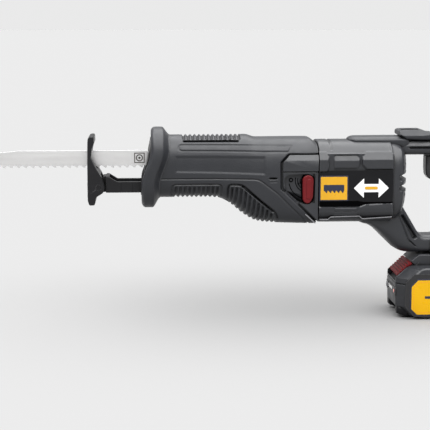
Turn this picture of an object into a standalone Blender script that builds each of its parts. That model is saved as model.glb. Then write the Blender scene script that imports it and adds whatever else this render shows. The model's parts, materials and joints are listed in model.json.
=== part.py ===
"""Cordless reciprocating saw.

The blade points towards -X, +Z is up and the tool rests on the flat base of its battery at Z = 0.
The left side of the tool is the -Y side.  Sizes are millimetres; mesh_object() turns them into metres.
"""

import math

import bmesh
import bpy

MM = 0.001
GAP = 0.3                      # clearance left between neighbouring pieces

# Driving dimensions -------------------------------------------------------------------------------
LENGTH = 576.0                 # blade tip to rear of the battery
FRONT_X = -LENGTH / 2
REAR_X = LENGTH / 2
PLUNGER_Z = 174.5              # height of the blade and plunger axis
MOTOR_Z = 150.0                # height of the motor axis
STROKE = 28.0                  # full stroke of the plunger
CRANK_X = 30.0                 # vertical axis of the crank gear
SPLIT_X = 75.3                 # joint between the gear end and the motor housing
CAP_X = 156.2                  # joint between the motor housing and the handle

BLADE_THICKNESS = 1.3
BLADE_BACK_Z = 184.0
BLADE_ROOT_Z = 167.6
TOOTH_PITCH = 8.0
TOOTH_DEPTH = 2.0
TOOTH_COUNT = 19

SHOE_PIVOT = (-160.2, 0.0, 145.9)
SHOE_HALF_WIDTH = 20.0
ARM_HALF_WIDTH = 15.5
ARM_BOTTOM_Z = 140.4
ARM_TOP_Z = 151.5

BOOT_HALF_WIDTH = 38.0
BOOT_TOP_Z = 209.4
BOOT_BOTTOM_Z = 122.9
BOOT_SWEEP = 10.5              # how far the lower half of the boot reaches forward

GRIP_HALF_WIDTH = 30.0
BODY_HALF_WIDTH = 38.0
SLEEVE = 3.0                   # thickness of the rubber sleeve

BARREL_HALF_WIDTH = 39.0
BARREL_HALF_HEIGHT = 45.0
BARREL_WALL = 3.0

GEAR_TEETH = 36
PINION_TEETH = 6
PINION_TIP = 4.8
CRANK_RADIUS = STROKE / 2
YOKE_Z = (167.0, 182.0)

LEVER_PIVOT = (63.6, -36.0, 154.3)
LEVER_HUB = 6.0                # radius of the lever at its pivot
LEVER_TIP = 5.5                # radius of its free end
LEVER_ARM = 19.3               # pivot to the centre of the free end
LEVER_ROOM = 1.5               # clearance around the lever's sweep

HANDLE_HALF_WIDTH = 17.0
FOOT_HALF_WIDTH = 31.0
FOOT_BOTTOM_Z = 69.7
TRIGGER_TRAVEL = 7.0

BATTERY_FRONT_X = 163.0
BATTERY_HALF_WIDTH = 38.0
BATTERY_SPLIT_Z = 38.3
BATTERY_TOP_Z = 58.0
RAIL_TOP_Z = 69.3
CELL_RADIUS = 9.2
CELL_PITCH = 18.3

ROUND = 24                     # sides of a round piece
SMOOTH_ANGLE = math.radians(35)

COLOURS = {
    "shell_grey": ((0.085, 0.087, 0.092), 0.45, 0.0),
    "rubber_dark": ((0.045, 0.046, 0.050), 0.65, 0.0),
    "plastic_black": ((0.012, 0.012, 0.013), 0.50, 0.0),
    "lever_red": ((0.180, 0.020, 0.025), 0.35, 0.0),
    "cast_aluminium": ((0.420, 0.425, 0.430), 0.45, 1.0),
    "steel": ((0.560, 0.550, 0.540), 0.30, 1.0),
    "blade_steel": ((0.600, 0.590, 0.580), 0.35, 1.0),
    "black_steel": ((0.040, 0.040, 0.042), 0.40, 1.0),
    "copper": ((0.550, 0.250, 0.110), 0.40, 1.0),
    "board_green": ((0.030, 0.120, 0.050), 0.50, 0.0),
    "cell_blue": ((0.050, 0.150, 0.350), 0.40, 0.0),
    "brass": ((0.600, 0.430, 0.150), 0.35, 1.0),
}


# Scene helpers ------------------------------------------------------------------------------------
def clear_scene():
    for obj in list(bpy.data.objects):
        bpy.data.objects.remove(obj, do_unlink=True)


def material(name):
    mat = bpy.data.materials.get(name)
    if mat:
        return mat
    colour, roughness, metallic = COLOURS[name]
    mat = bpy.data.materials.new(name)
    mat.use_nodes = True
    shader = mat.node_tree.nodes["Principled BSDF"]
    shader.inputs["Base Color"].default_value = (*colour, 1.0)
    shader.inputs["Roughness"].default_value = roughness
    shader.inputs["Metallic"].default_value = metallic
    return mat


def mesh_object(name, bm, finish, origin=(0.0, 0.0, 0.0)):
    """Makes an object from a bmesh in millimetres, with its origin at the given point."""
    bmesh.ops.remove_doubles(bm, verts=bm.verts, dist=0.001)
    bmesh.ops.recalc_face_normals(bm, faces=bm.faces)
    bmesh.ops.translate(bm, verts=bm.verts, vec=[-c for c in origin])
    bmesh.ops.scale(bm, verts=bm.verts, vec=(MM, MM, MM))
    mesh = bpy.data.meshes.new(name)
    bm.to_mesh(mesh)
    bm.free()
    mesh.shade_smooth()
    mesh.set_sharp_from_angle(angle=SMOOTH_ANGLE)
    obj = bpy.data.objects.new(name, mesh)
    obj.location = [c * MM for c in origin]
    obj.data.materials.append(material(finish))
    bpy.context.scene.collection.objects.link(obj)
    return obj


def boolean(obj, tool, operation):
    """Adds an exact boolean and hides the tool object, which is only a guide."""
    tool.hide_render = True
    tool.display_type = "WIRE"
    step = obj.modifiers.new(operation.lower(), "BOOLEAN")
    step.operation = operation
    step.solver = "EXACT"
    step.object = tool


def cut(obj, *tools):
    for tool in tools:
        boolean(obj, tool, "DIFFERENCE")


def join(obj, *tools):
    for tool in tools:
        boolean(obj, tool, "UNION")


# Shape helpers, all in millimetres ----------------------------------------------------------------
def arc(cx, cy, radius, start, stop, steps):
    """Points on an arc, angles in degrees."""
    angles = [math.radians(start + (stop - start) * i / steps) for i in range(steps + 1)]
    return [(cx + radius * math.cos(a), cy + radius * math.sin(a)) for a in angles]


def extrude(outline, place, start, stop, chamfer=0.0):
    """Extrudes a closed 2-D outline; place(u, v, w) gives each point's position in space.

    A chamfer above zero bevels the rim of both ends.
    """
    bm = bmesh.new()
    base = bm.faces.new([bm.verts.new(place(u, v, start)) for u, v in outline])
    lift = [b - a for a, b in zip(place(0, 0, start), place(0, 0, stop))]
    grown = bmesh.ops.extrude_face_region(bm, geom=[base], use_keep_orig=True)["geom"]
    moved = [g for g in grown if isinstance(g, bmesh.types.BMVert)]
    bmesh.ops.translate(bm, verts=moved, vec=lift)
    if chamfer:
        tops = [f for f in bm.faces if len(f.verts) == len(outline) and len(outline) != 4]
        rims = {e for f in tops for e in f.edges}
        bmesh.ops.bevel(bm, geom=list(rims), offset=chamfer, segments=1, affect="EDGES")
    return bm


def prism_y(name, outline, y0, y1, finish, origin=(0, 0, 0), chamfer=0.0):
    """Side outline in X and Z, extruded across the tool."""
    bm = extrude(outline, lambda u, v, w: (u, w, v), y0, y1, chamfer)
    return mesh_object(name, bm, finish, origin)


def prism_x(name, outline, x0, x1, finish, origin=(0, 0, 0)):
    """End outline in Y and Z, extruded along the tool."""
    return mesh_object(name, extrude(outline, lambda u, v, w: (w, u, v), x0, x1), finish, origin)


def prism_z(name, outline, z0, z1, finish, origin=(0, 0, 0)):
    """Plan outline in X and Y, extruded upwards."""
    return mesh_object(name, extrude(outline, lambda u, v, w: (u, v, w), z0, z1), finish, origin)


def block(name, x, y, z, finish="steel", origin=(0, 0, 0), chamfer=0.0):
    """A box between the pairs of limits x, y and z, with its edges optionally chamfered."""
    bm = bmesh.new()
    bmesh.ops.create_cube(bm, size=1.0)
    for v in bm.verts:
        v.co = [lim[0] if c < 0 else lim[1] for c, lim in zip(v.co, (x, y, z))]
    if chamfer:
        bmesh.ops.bevel(bm, geom=list(bm.edges), offset=chamfer, segments=1, affect="EDGES")
    return mesh_object(name, bm, finish, origin)


AXIS_PLACE = {
    "X": lambda c, r, a, s: (c[0] + s, c[1] + r * math.cos(a), c[2] + r * math.sin(a)),
    "Y": lambda c, r, a, s: (c[0] + r * math.cos(a), c[1] + s, c[2] + r * math.sin(a)),
    "Z": lambda c, r, a, s: (c[0] + r * math.cos(a), c[1] + r * math.sin(a), c[2] + s),
}


def turned(name, profile, axis, centre, finish, origin=None, sides=ROUND):
    """Revolves (radius, distance) points; a profile that starts and ends at radius 0 is solid."""
    bm = bmesh.new()
    place = AXIS_PLACE[axis]
    rings = []
    for radius, along in profile:
        angles = [2 * math.pi * i / sides for i in range(sides)]
        rings.append([bm.verts.new(place(centre, radius, a, along)) for a in angles])
    closed = profile[0][0] > 0
    pairs = len(rings) if closed else len(rings) - 1
    for i in range(pairs):
        near, far = rings[i], rings[(i + 1) % len(rings)]
        for j in range(sides):
            k = (j + 1) % sides
            bm.faces.new((near[j], near[k], far[k], far[j]))
    bmesh.ops.remove_doubles(bm, verts=bm.verts, dist=0.0001)
    return mesh_object(name, bm, finish, centre if origin is None else origin)


def rod(name, radius, start, stop, axis, centre, finish, origin=None, sides=ROUND):
    profile = [(0, start), (radius, start), (radius, stop), (0, stop)]
    return turned(name, profile, axis, centre, finish, origin, sides)


def ring(name, inner, outer, start, stop, axis, centre, finish, origin=None, sides=ROUND):
    profile = [(inner, start), (outer, start), (outer, stop), (inner, stop)]
    return turned(name, profile, axis, centre, finish, origin, sides)


def superellipse(half_y, half_z, centre_z, power, count):
    """Points (y, z) of a rounded oblong whose corners get squarer as power grows."""
    points = []
    for i in range(count):
        a = 2 * math.pi * (i + 0.5) / count
        c, s = math.cos(a), math.sin(a)
        y = math.copysign(abs(c) ** (2 / power), c) * half_y
        z = math.copysign(abs(s) ** (2 / power), s) * half_z
        points.append((y, centre_z + z))
    return points


def loft(name, stations, finish, power=4.0, count=28, sweep=None, origin=(0, 0, 0)):
    """Skins rounded oblongs (x, bottom z, top z, half width) and caps both ends."""
    bm = bmesh.new()
    rings = []
    for x, low, high, half in stations:
        points = superellipse(half, (high - low) / 2, (high + low) / 2, power, count)
        shift = sweep or (lambda z: 0.0)
        rings.append([bm.verts.new((x + shift(z), y, z)) for y, z in points])
    for near, far in zip(rings, rings[1:]):
        for j in range(count):
            k = (j + 1) % count
            bm.faces.new((near[j], near[k], far[k], far[j]))
    bm.faces.new(rings[0])
    bm.faces.new(rings[-1])
    if sweep:
        bmesh.ops.triangulate(bm, faces=[f for f in bm.faces if len(f.verts) > 4])
    return mesh_object(name, bm, finish, origin)


def coil(name, radius, wire, turns, start, stop, axis, centre, finish, origin=None):
    """A round-wire compression spring with open ends."""
    bm = bmesh.new()
    place = AXIS_PLACE[axis]
    steps = 12 * turns
    sides = 6
    rings = []
    for i in range(steps + 1):
        a = 2 * math.pi * turns * i / steps
        s = start + wire + (stop - start - 2 * wire) * i / steps
        section = []
        for j in range(sides):
            b = 2 * math.pi * j / sides
            point = place(centre, radius + wire * math.cos(b), a, s + wire * math.sin(b))
            section.append(bm.verts.new(point))
        rings.append(section)
    for near, far in zip(rings, rings[1:]):
        for j in range(sides):
            k = (j + 1) % sides
            bm.faces.new((near[j], near[k], far[k], far[j]))
    bm.faces.new(rings[0])
    bm.faces.new(rings[-1])
    return mesh_object(name, bm, finish, centre if origin is None else origin)


# Outlines shared by several pieces ----------------------------------------------------------------
def boot_sweep(z):
    """Forward shift of the boot's lower half, eased in between two heights."""
    t = min(max((190.0 - z) / 42.0, 0.0), 1.0)
    return -BOOT_SWEEP * t * t * (3 - 2 * t)


def grip_stations(inset, front, rear):
    """Rounded sections of the front grip, made smaller by inset."""
    shape = (
        (-97.0, 133.2, 201.1, GRIP_HALF_WIDTH),
        (-30.0, 133.0, 201.1, GRIP_HALF_WIDTH),
        (-19.0, 127.0, 201.1, 31.0),
        (-8.0, 118.0, 201.0, 33.0),
        (2.0, 111.0, 200.0, 35.0),
        (13.0, 106.0, 198.2, 36.5),
        (25.0, 104.2, 198.0, 37.5),
        (67.0, 104.0, 198.0, BODY_HALF_WIDTH),
        (SPLIT_X, 104.0, 195.0, BODY_HALF_WIDTH),
    )
    inner = [s for s in shape if front < s[0] < rear]
    ends = [(front, *shape[0][1:])] + inner + [(rear, *shape[-1][1:])]
    return [(x, low + inset, high - inset, half - inset) for x, low, high, half in ends]


def barrel_stations(inset, front, rear):
    low = MOTOR_Z - BARREL_HALF_HEIGHT + inset
    high = MOTOR_Z + BARREL_HALF_HEIGHT - inset
    half = BARREL_HALF_WIDTH - inset
    return [(front, low, high, half), (rear, low, high, half)]


def window_outline(inset, rear):
    """Opening in the side of the sleeve where the gear case's panel shows."""
    front, knee = 35.0, 145.6
    slope = (knee - 106.8) / (SPLIT_X - front)
    rise = inset * math.hypot(1.0, slope)
    corner = min(rear, SPLIT_X)
    low = knee - slope * (corner - front) + rise
    outline = [
        (44.0 + inset, 182.6 - inset),
        (front + inset, 173.6 - inset),
        (front + inset, knee - slope * inset + rise),
        (corner, low),
    ]
    if rear > corner:
        outline.append((rear, low))
    return outline + [(rear, 182.6 - inset)]


LOOP_OUTLINE = [
    (176.4, 179.0), (212.0, 179.0), (216.0, 172.0), (219.0, 150.0), (225.0, 122.0), (232.0, 101.0),
    (231.0, 92.0), (226.0, 89.3), (194.0, 89.3), (176.4, 118.0),
]

HANDLE_OUTLINE = [
    (123.0, 108.0), (131.6, 103.2), (138.7, 98.6), (154.1, 83.4), (161.2, 76.2), (169.3, 71.5),
    (177.5, FOOT_BOTTOM_Z + GAP), (284.0, FOOT_BOTTOM_Z + GAP), (285.0, 82.0), (279.0, 92.0), (270.0, 112.0),
    (265.0, 141.0), (260.0, 165.0), (252.0, 182.0), (242.0, 192.0), (228.0, 195.8), (CAP_X + GAP, 195.8),
    (CAP_X + GAP, 112.0),
]


# Blade, plunger and clamp -------------------------------------------------------------------------
def make_blade():
    """Hook-toothed blade with a tapered tip and a round-holed shank."""
    half = BLADE_THICKNESS / 2
    start = -126.0
    outline = [(-112.0, BLADE_ROOT_Z), (start, BLADE_ROOT_Z)]
    for i in range(TOOTH_COUNT):
        x = start - i * TOOTH_PITCH
        outline += [(x - 1.0, BLADE_ROOT_Z - TOOTH_DEPTH), (x - 2.4, BLADE_ROOT_Z - TOOTH_DEPTH)]
        outline += [(x - 5.0, BLADE_ROOT_Z - 0.4), (x - TOOTH_PITCH, BLADE_ROOT_Z)]
    outline += [(FRONT_X + 5.0, 169.5), (FRONT_X, 175.5), (FRONT_X + 2.0, 177.6)]
    outline += [(-270.5, 181.8), (-246.3, BLADE_BACK_Z), (-112.0, BLADE_BACK_Z)]
    outline += [(-108.0, 180.5), (-91.0, 180.5), (-91.0, 168.5), (-108.0, 168.5)]
    blade = prism_y("saw_blade", outline, -half, half, "blade_steel", (-96.0, 0, PLUNGER_Z))
    cut(blade, rod("guide_blade_hole", 2.4, -3, 3, "Y", (-96.0, 0, PLUNGER_Z), "steel", sides=16))


def make_plunger():
    """Round plunger with the blade slot in its nose and the scotch yoke at its rear."""
    axis = (0.0, 0.0, PLUNGER_Z)
    plunger = rod("plunger", 8.0, -103.0, 22.0, "X", axis, "steel", (0, 0, PLUNGER_Z))
    join(plunger, block("guide_yoke", (21.0, 39.0), (-22.0, 22.0), YOKE_Z, chamfer=1.0))
    cut(
        plunger,
        block("guide_yoke_slot", (25.0, 35.0), (-18.9, 18.9), (150.0, 200.0)),
        block("guide_blade_slot", (-110.0, -90.4), (-1.0, 1.0), (168.1, 180.9)),
        rod("guide_clamp_hole", 2.3, -12.0, -0.5, "Y", (-96.0, 0, PLUNGER_Z), "steel", sides=16),
    )


def make_clamp():
    """Twist collar, its detent pin and its return spring."""
    axis = (0.0, 0.0, PLUNGER_Z)
    profile = [
        (8.3, -104.0), (12.5, -104.0), (14.0, -102.0), (14.0, -86.0), (12.5, -84.0), (11.8, -84.0),
        (11.8, -93.6), (8.3, -93.6),
    ]
    turned("blade_clamp_collar", profile, "X", axis, "black_steel", axis)
    rod("blade_clamp_pin", 2.0, -7.4, 0.4, "Y", (-96.0, 0, PLUNGER_Z), "steel", sides=12)
    coil("collar_spring", 10.0, 0.7, 4, -93.2, -84.6, "X", axis, "steel", axis)


def make_bearings_of_plunger():
    axis = (0.0, 0.0, PLUNGER_Z)
    ring("plunger_bush", 8.3, 11.0, -63.9, -44.0, "X", axis, "brass")
    ring("plunger_seal", 8.3, 12.5, -68.4, -64.2, "X", axis, "rubber_dark")


# Shoe ---------------------------------------------------------------------------------------------
def make_shoe():
    """Curved nose plate with a blade slot and two lugs around the pivot pin."""
    outline = [
        (-169.5, 202.3), (-166.4, 204.3), (-163.7, 204.0), (-163.1, 198.8), (-165.2, 193.4),
        (-165.8, 184.0), (-166.8, 176.3), (-164.7, 169.4), (-157.3, 157.6), (-154.2, 149.0),
        (-153.7, 145.0), (-155.5, 140.4), (-163.2, 135.2), (-163.9, 129.3), (-165.4, 125.5),
        (-169.4, 125.5), (-171.4, 128.7), (-171.9, 150.0), (-172.1, 171.0), (-171.6, 196.2),
    ]
    shoe = prism_y("shoe", outline, -SHOE_HALF_WIDTH, SHOE_HALF_WIDTH, "black_steel", SHOE_PIVOT)
    cut(
        shoe,
        block("guide_shoe_slot", (-190.0, -150.0), (-6.5, 6.5), (158.0, 194.0)),
        prism_y("guide_shoe_fork", arc(SHOE_PIVOT[0], SHOE_PIVOT[2], 8.3, 0, 330, 11), -9.9, 9.9, "steel"),
        block("guide_shoe_gap", (-161.0, -140.0), (-9.9, 9.9), (130.0, 157.5)),
        rod("guide_shoe_bore", 3.3, -30, 30, "Y", SHOE_PIVOT, "steel", sides=16),
    )
    rod("shoe_pivot_pin", 3.0, -19.6, 19.6, "Y", SHOE_PIVOT, "steel", sides=16)


def make_shoe_arm():
    """Sliding arm: a channel with a round tongue that the shoe hinges on."""
    x, _, z = SHOE_PIVOT
    outline = arc(x, z, 6.2, 60, 270, 10)
    outline += [(-150.0, ARM_BOTTOM_Z), (-62.0, ARM_BOTTOM_Z), (-62.0, ARM_TOP_Z), (-141.0, ARM_TOP_Z)]
    outline += [(-147.0, 154.4), (-150.5, 155.0)]
    arm = prism_y("shoe_arm", outline, -ARM_HALF_WIDTH, ARM_HALF_WIDTH, "black_steel", (0, 0, 146.0))
    for side in (-1, 1):
        limits = sorted((side * 9.5, side * 30.0))
        cut(arm, block(f"guide_arm_cheek_{side}", (-175.0, -150.9), limits, (120.0, 170.0)))
    cut(
        arm,
        rod("guide_arm_bore", 3.3, -30, 30, "Y", SHOE_PIVOT, "steel", sides=16),
        block("guide_arm_channel", (-152.0, -50.0), (-12.6, 12.6), (ARM_BOTTOM_Z + 3.0, 170.0)),
    )
    leaf = [
        (-60.0, 137.9), (-40.0, 137.9), (-40.0, 138.5), (-46.0, 138.5), (-50.0, 139.9), (-54.0, 138.5),
        (-60.0, 138.5),
    ]
    prism_y("shoe_detent_spring", leaf, -6.0, 6.0, "steel")


# Boot, grip and gear case -------------------------------------------------------------------------
def make_boot():
    """Flared rubber boot whose lower half reaches forward, and the insert inside it."""
    count = 36
    inner = superellipse(GRIP_HALF_WIDTH + GAP, 34.05 + GAP, 167.1, 4.0, count)
    mouth = superellipse(GRIP_HALF_WIDTH - 3.0, 31.05, 167.1, 4.0, count)
    middle = (BOOT_TOP_Z + BOOT_BOTTOM_Z) / 2
    half_height = (BOOT_TOP_Z - BOOT_BOTTOM_Z) / 2
    outer = superellipse(BOOT_HALF_WIDTH, half_height, middle, 3.4, count)
    bm = bmesh.new()
    rings = []
    for y_in, y_mouth, y_out in zip(inner, mouth, outer):
        shift = boot_sweep(y_out[1])
        step_x = -97.4
        profile = [
            (min(-84.0 + shift, -84.0), y_in), (-90.8 + shift, y_out), (-103.0 + shift, y_out),
            (-103.0 + shift, y_mouth), (step_x, y_mouth), (step_x, y_in),
        ]
        rings.append([bm.verts.new((x, *point)) for x, point in profile])
    for i, near in enumerate(rings):
        far = rings[(i + 1) % count]
        for j in range(len(near)):
            k = (j + 1) % len(near)
            bm.faces.new((near[j], near[k], far[k], far[j]))
    mesh_object("front_boot", bm, "rubber_dark")
    stations = [(-104.5, 136.4, 197.8, 26.6), (-99.0, 136.4, 197.8, 26.6)]
    insert = loft("boot_insert", stations, "plastic_black", sweep=boot_sweep)
    cut(
        insert,
        rod("guide_insert_mouth", 17.0, -130, -60, "X", (0, 0, PLUNGER_Z), "steel"),
        block("guide_insert_slot", (-130.0, -60.0), (-16.2, 16.2), (139.6, 165.0)),
    )


def make_front_grip():
    """Rubber sleeve over the gear case, open at the sides around the selector panel."""
    grip = loft("front_grip", grip_stations(0.0, -97.0, SPLIT_X), "rubber_dark")
    cut(grip, loft("guide_grip_inside", grip_stations(SLEEVE, -99.0, SPLIT_X + 3), "steel"))
    for side in (-1, 1):
        limits = sorted((side * 27.0, side * 50.0))
        cut(grip, prism_y(f"guide_window_{side}", window_outline(0.0, SPLIT_X + 3), *limits, "steel"))


def lever_pocket():
    """Quarter turn that the selector lever sweeps, from straight down to straight forward."""
    x, _, z = LEVER_PIVOT
    tip, hub = LEVER_TIP + LEVER_ROOM, LEVER_HUB + LEVER_ROOM
    outline = arc(x - LEVER_ARM, z, tip, 80, 180, 8) + arc(x, z, LEVER_ARM + tip, 186, 264, 9)
    outline += arc(x, z - LEVER_ARM, tip, 270, 370, 8) + arc(x, z, hub, -5, 95, 8)
    return prism_y("guide_lever_pocket", outline, -50.0, -33.4, "steel")


def make_gear_case():
    """Cast gear case in two halves that meet on the plunger's axis."""
    front, rear = -96.0, SPLIT_X - GAP
    motor_axis = (0, 0, MOTOR_Z)
    plunger_axis = (0, 0, PLUNGER_Z)
    pad = window_outline(0.5, SPLIT_X - 2 * GAP)
    pads = [
        prism_y("guide_pad_left", pad, -BODY_HALF_WIDTH, -27.5, "steel"),
        prism_y("guide_pad_right", pad, 27.5, BODY_HALF_WIDTH, "steel"),
    ]
    plunger_way = [
        (0, -72.0), (12.8, -72.0), (12.8, -63.9), (11.3, -63.9), (11.3, -43.7), (9.0, -43.7), (9.0, 20.0),
        (0, 20.0),
    ]
    motor_way = [(0, 50.0), (5.6, 50.0), (5.6, 63.7), (11.3, 63.7), (11.3, 90.0), (0, 90.0)]
    chamber = [(0, 120.0), (13.3, 120.0), (13.3, 151.6), (29.6, 151.6), (29.6, 165.5), (0, 165.5)]
    pocket = block("guide_belly_pocket", (6.0, 58.0), (-24.0, 24.0), (90.0, 148.0))
    cut(pocket, rod("guide_bearing_boss", 16.5, 80.0, 160.0, "Z", (CRANK_X, 0, 0), "steel"))
    nose = [(-99.0, 140.5, 193.8, 23.0), (-69.0, 140.5, 193.8, 23.0)]
    cutters = [
        loft("guide_nose", nose, "steel"),
        block("guide_arm_way", (-99.0, -34.0), (-15.9, 15.9), (140.0, 152.2)),
        block("guide_leaf_seat", (-60.4, -39.6), (-6.4, 6.4), (137.6, 142.0)),
        turned("guide_plunger_way", plunger_way, "X", plunger_axis, "steel"),
        turned("guide_gear_chamber", chamber, "Z", (CRANK_X, 0, 0), "steel", sides=32),
        pocket,
        block("guide_front_pocket", (-36.0, -4.0), (-21.0, 21.0), (141.0, 163.0)),
        block("guide_yoke_chamber", (5.0, 56.0), (-23.5, 23.5), (150.0, 188.0)),
        turned("guide_motor_way", motor_way, "X", motor_axis, "steel"),
        rod("guide_lever_bore", 4.3, -40.0, -15.5, "Y", (LEVER_PIVOT[0], 0, LEVER_PIVOT[2]), "steel"),
        lever_pocket(),
    ]
    split_low = block("guide_split_low", (-200, 200), (-90, 90), (PLUNGER_Z - GAP / 2, 300))
    split_high = block("guide_split_high", (-200, 200), (-90, 90), (0, PLUNGER_Z + GAP / 2))
    for name, split in (("gear_case_lower", split_low), ("gear_case_upper", split_high)):
        case = loft(name, grip_stations(SLEEVE + GAP, front, rear), "cast_aluminium")
        join(case, *pads)
        cut(case, *cutters, split)


def make_crank():
    """Crown gear with its shaft, crank pin and bearing."""
    centre = (CRANK_X, 0.0, 0.0)
    profile = [
        (0, 124.0), (6.0, 124.0), (6.0, 140.0), (9.0, 140.0), (9.0, 155.3), (28.0, 155.3), (28.0, 162.6),
        (0, 162.6),
    ]
    gear = turned("crank_gear", profile, "Z", centre, "steel", (CRANK_X, 0, 155.0), sides=36)
    teeth = bmesh.new()
    for i in range(GEAR_TEETH):
        a = 2 * math.pi * (i + 0.5) / GEAR_TEETH
        c, s = math.cos(a), math.sin(a)
        corners = []
        for r in (23.5, 27.0):
            for half, z in ((-0.9, 156.0), (0.9, 156.0), (0.55, 153.7), (-0.55, 153.7)):
                corners.append(teeth.verts.new((CRANK_X + r * c - half * s, r * s + half * c, z)))
        near, far = corners[:4], corners[4:]
        teeth.faces.new(near)
        teeth.faces.new(far)
        for j in range(4):
            k = (j + 1) % 4
            teeth.faces.new((near[j], near[k], far[k], far[j]))
    join(gear, mesh_object("guide_crown_teeth", teeth, "steel"))
    cut(gear, rod("guide_pin_hole", 3.3, 158.0, 170.0, "Z", (CRANK_X, CRANK_RADIUS, 0), "steel", sides=16))
    pin = [(0, 158.4), (3.0, 158.4), (3.0, 162.9), (4.5, 162.9), (4.5, 166.2), (0, 166.2)]
    turned("crank_pin", pin, "Z", (CRANK_X, CRANK_RADIUS, 0), "steel", (CRANK_X, 0, 155.0), sides=16)
    ring("crank_bearing", 6.3, 13.0, 124.0, 134.0, "Z", centre, "steel", (CRANK_X, 0, 129.0))


def make_selector():
    """Cutting-action lever on the left of the gear case, and its cam shaft."""
    x, _, z = LEVER_PIVOT
    outline = arc(x, z, LEVER_HUB, 0, 180, 8) + arc(x, z - LEVER_ARM, LEVER_TIP, 180, 360, 8)
    prism_y("selector_lever", outline, -38.6, -33.8, "lever_red", LEVER_PIVOT, chamfer=0.8)
    shaft = [(0, -33.4), (3.9, -33.4), (3.9, -22.0), (2.6, -22.0), (2.6, -16.0), (0, -16.0)]
    turned("selector_shaft", shaft, "Y", (x, 0, z), "steel", LEVER_PIVOT, sides=16)


# Motor --------------------------------------------------------------------------------------------
def make_motor():
    """Brushless motor: shaft with pinion, rotor, stator, windings, fan, bearings and end frame."""
    axis = (0.0, 0.0, MOTOR_Z)
    shaft = rod("motor_shaft", 4.0, 57.5, 152.0, "X", axis, "steel")
    outline = []
    for i in range(PINION_TEETH):
        middle = 90.0 + 360.0 / PINION_TEETH * i
        for radius, half in ((3.3, 19.0), (PINION_TIP, 7.5), (PINION_TIP, -7.5), (3.3, -19.0)):
            a = math.radians(middle - half)
            outline.append((radius * math.cos(a), MOTOR_Z + radius * math.sin(a)))
    join(shaft, prism_x("guide_pinion", outline, 52.6, 58.2, "steel"))
    ring("rotor_core", 4.3, 13.5, 94.0, 132.0, "X", axis, "black_steel")
    stator = ring("stator_core", 14.2, 27.0, 94.0, 132.0, "X", axis, "black_steel", sides=36)
    for i in range(6):
        a = math.radians(60 * i + 26)
        place = (0.0, 19.5 * math.cos(a), MOTOR_Z + 19.5 * math.sin(a))
        cut(stator, rod(f"guide_slot_{i}", 3.6, 90.0, 136.0, "X", place, "steel", sides=12))
    ring("winding_front", 14.6, 24.0, 88.0, 93.7, "X", axis, "copper")
    ring("winding_rear", 14.6, 24.0, 132.3, 138.0, "X", axis, "copper")
    disc = [(4.3, 77.5), (30.0, 77.5), (30.0, 78.7), (7.5, 79.3), (7.5, 87.0), (4.3, 87.0)]
    fan = turned("cooling_fan", disc, "X", axis, "plastic_black")
    blades = bmesh.new()
    for i in range(9):
        a = 2 * math.pi * i / 9
        c, s = math.cos(a), math.sin(a)
        for_blade = []
        for x in (78.2, 86.4):
            for r, half in ((6.8, -0.7), (29.0, -0.7), (29.0, 0.7), (6.8, 0.7)):
                corner = (x, r * c - half * s, MOTOR_Z + r * s + half * c)
                for_blade.append(blades.verts.new(corner))
        near, far = for_blade[:4], for_blade[4:]
        blades.faces.new(near)
        blades.faces.new(far)
        for j in range(4):
            k = (j + 1) % 4
            blades.faces.new((near[j], near[k], far[k], far[j]))
    join(fan, mesh_object("guide_fan_blades", blades, "steel"))
    ring("front_bearing", 4.3, 11.0, 64.0, 72.0, "X", axis, "steel")
    ring("rear_bearing", 4.3, 8.0, 144.0, 150.0, "X", axis, "steel")
    frame = [(8.3, 143.6), (11.5, 143.6), (11.5, 146.0), (34.0, 146.0), (34.0, 149.0), (11.5, 149.0),
             (11.5, 150.4), (8.3, 150.4)]
    end_frame = turned("motor_end_frame", frame, "X", axis, "cast_aluminium")
    for i in range(4):
        a = math.radians(90 * i + 45)
        place = (0.0, 22.0 * math.cos(a), MOTOR_Z + 22.0 * math.sin(a))
        cut(end_frame, rod(f"guide_vent_{i}", 7.0, 140.0, 155.0, "X", place, "steel", sides=12))


def make_motor_housing():
    """One-piece barrel around the motor, open at both ends."""
    housing = loft("motor_housing", barrel_stations(0.0, SPLIT_X + GAP, CAP_X), "shell_grey", power=3.2)
    cut(housing, loft("guide_barrel_inside", barrel_stations(BARREL_WALL, 70.0, 160.0), "steel", power=3.2))


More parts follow.
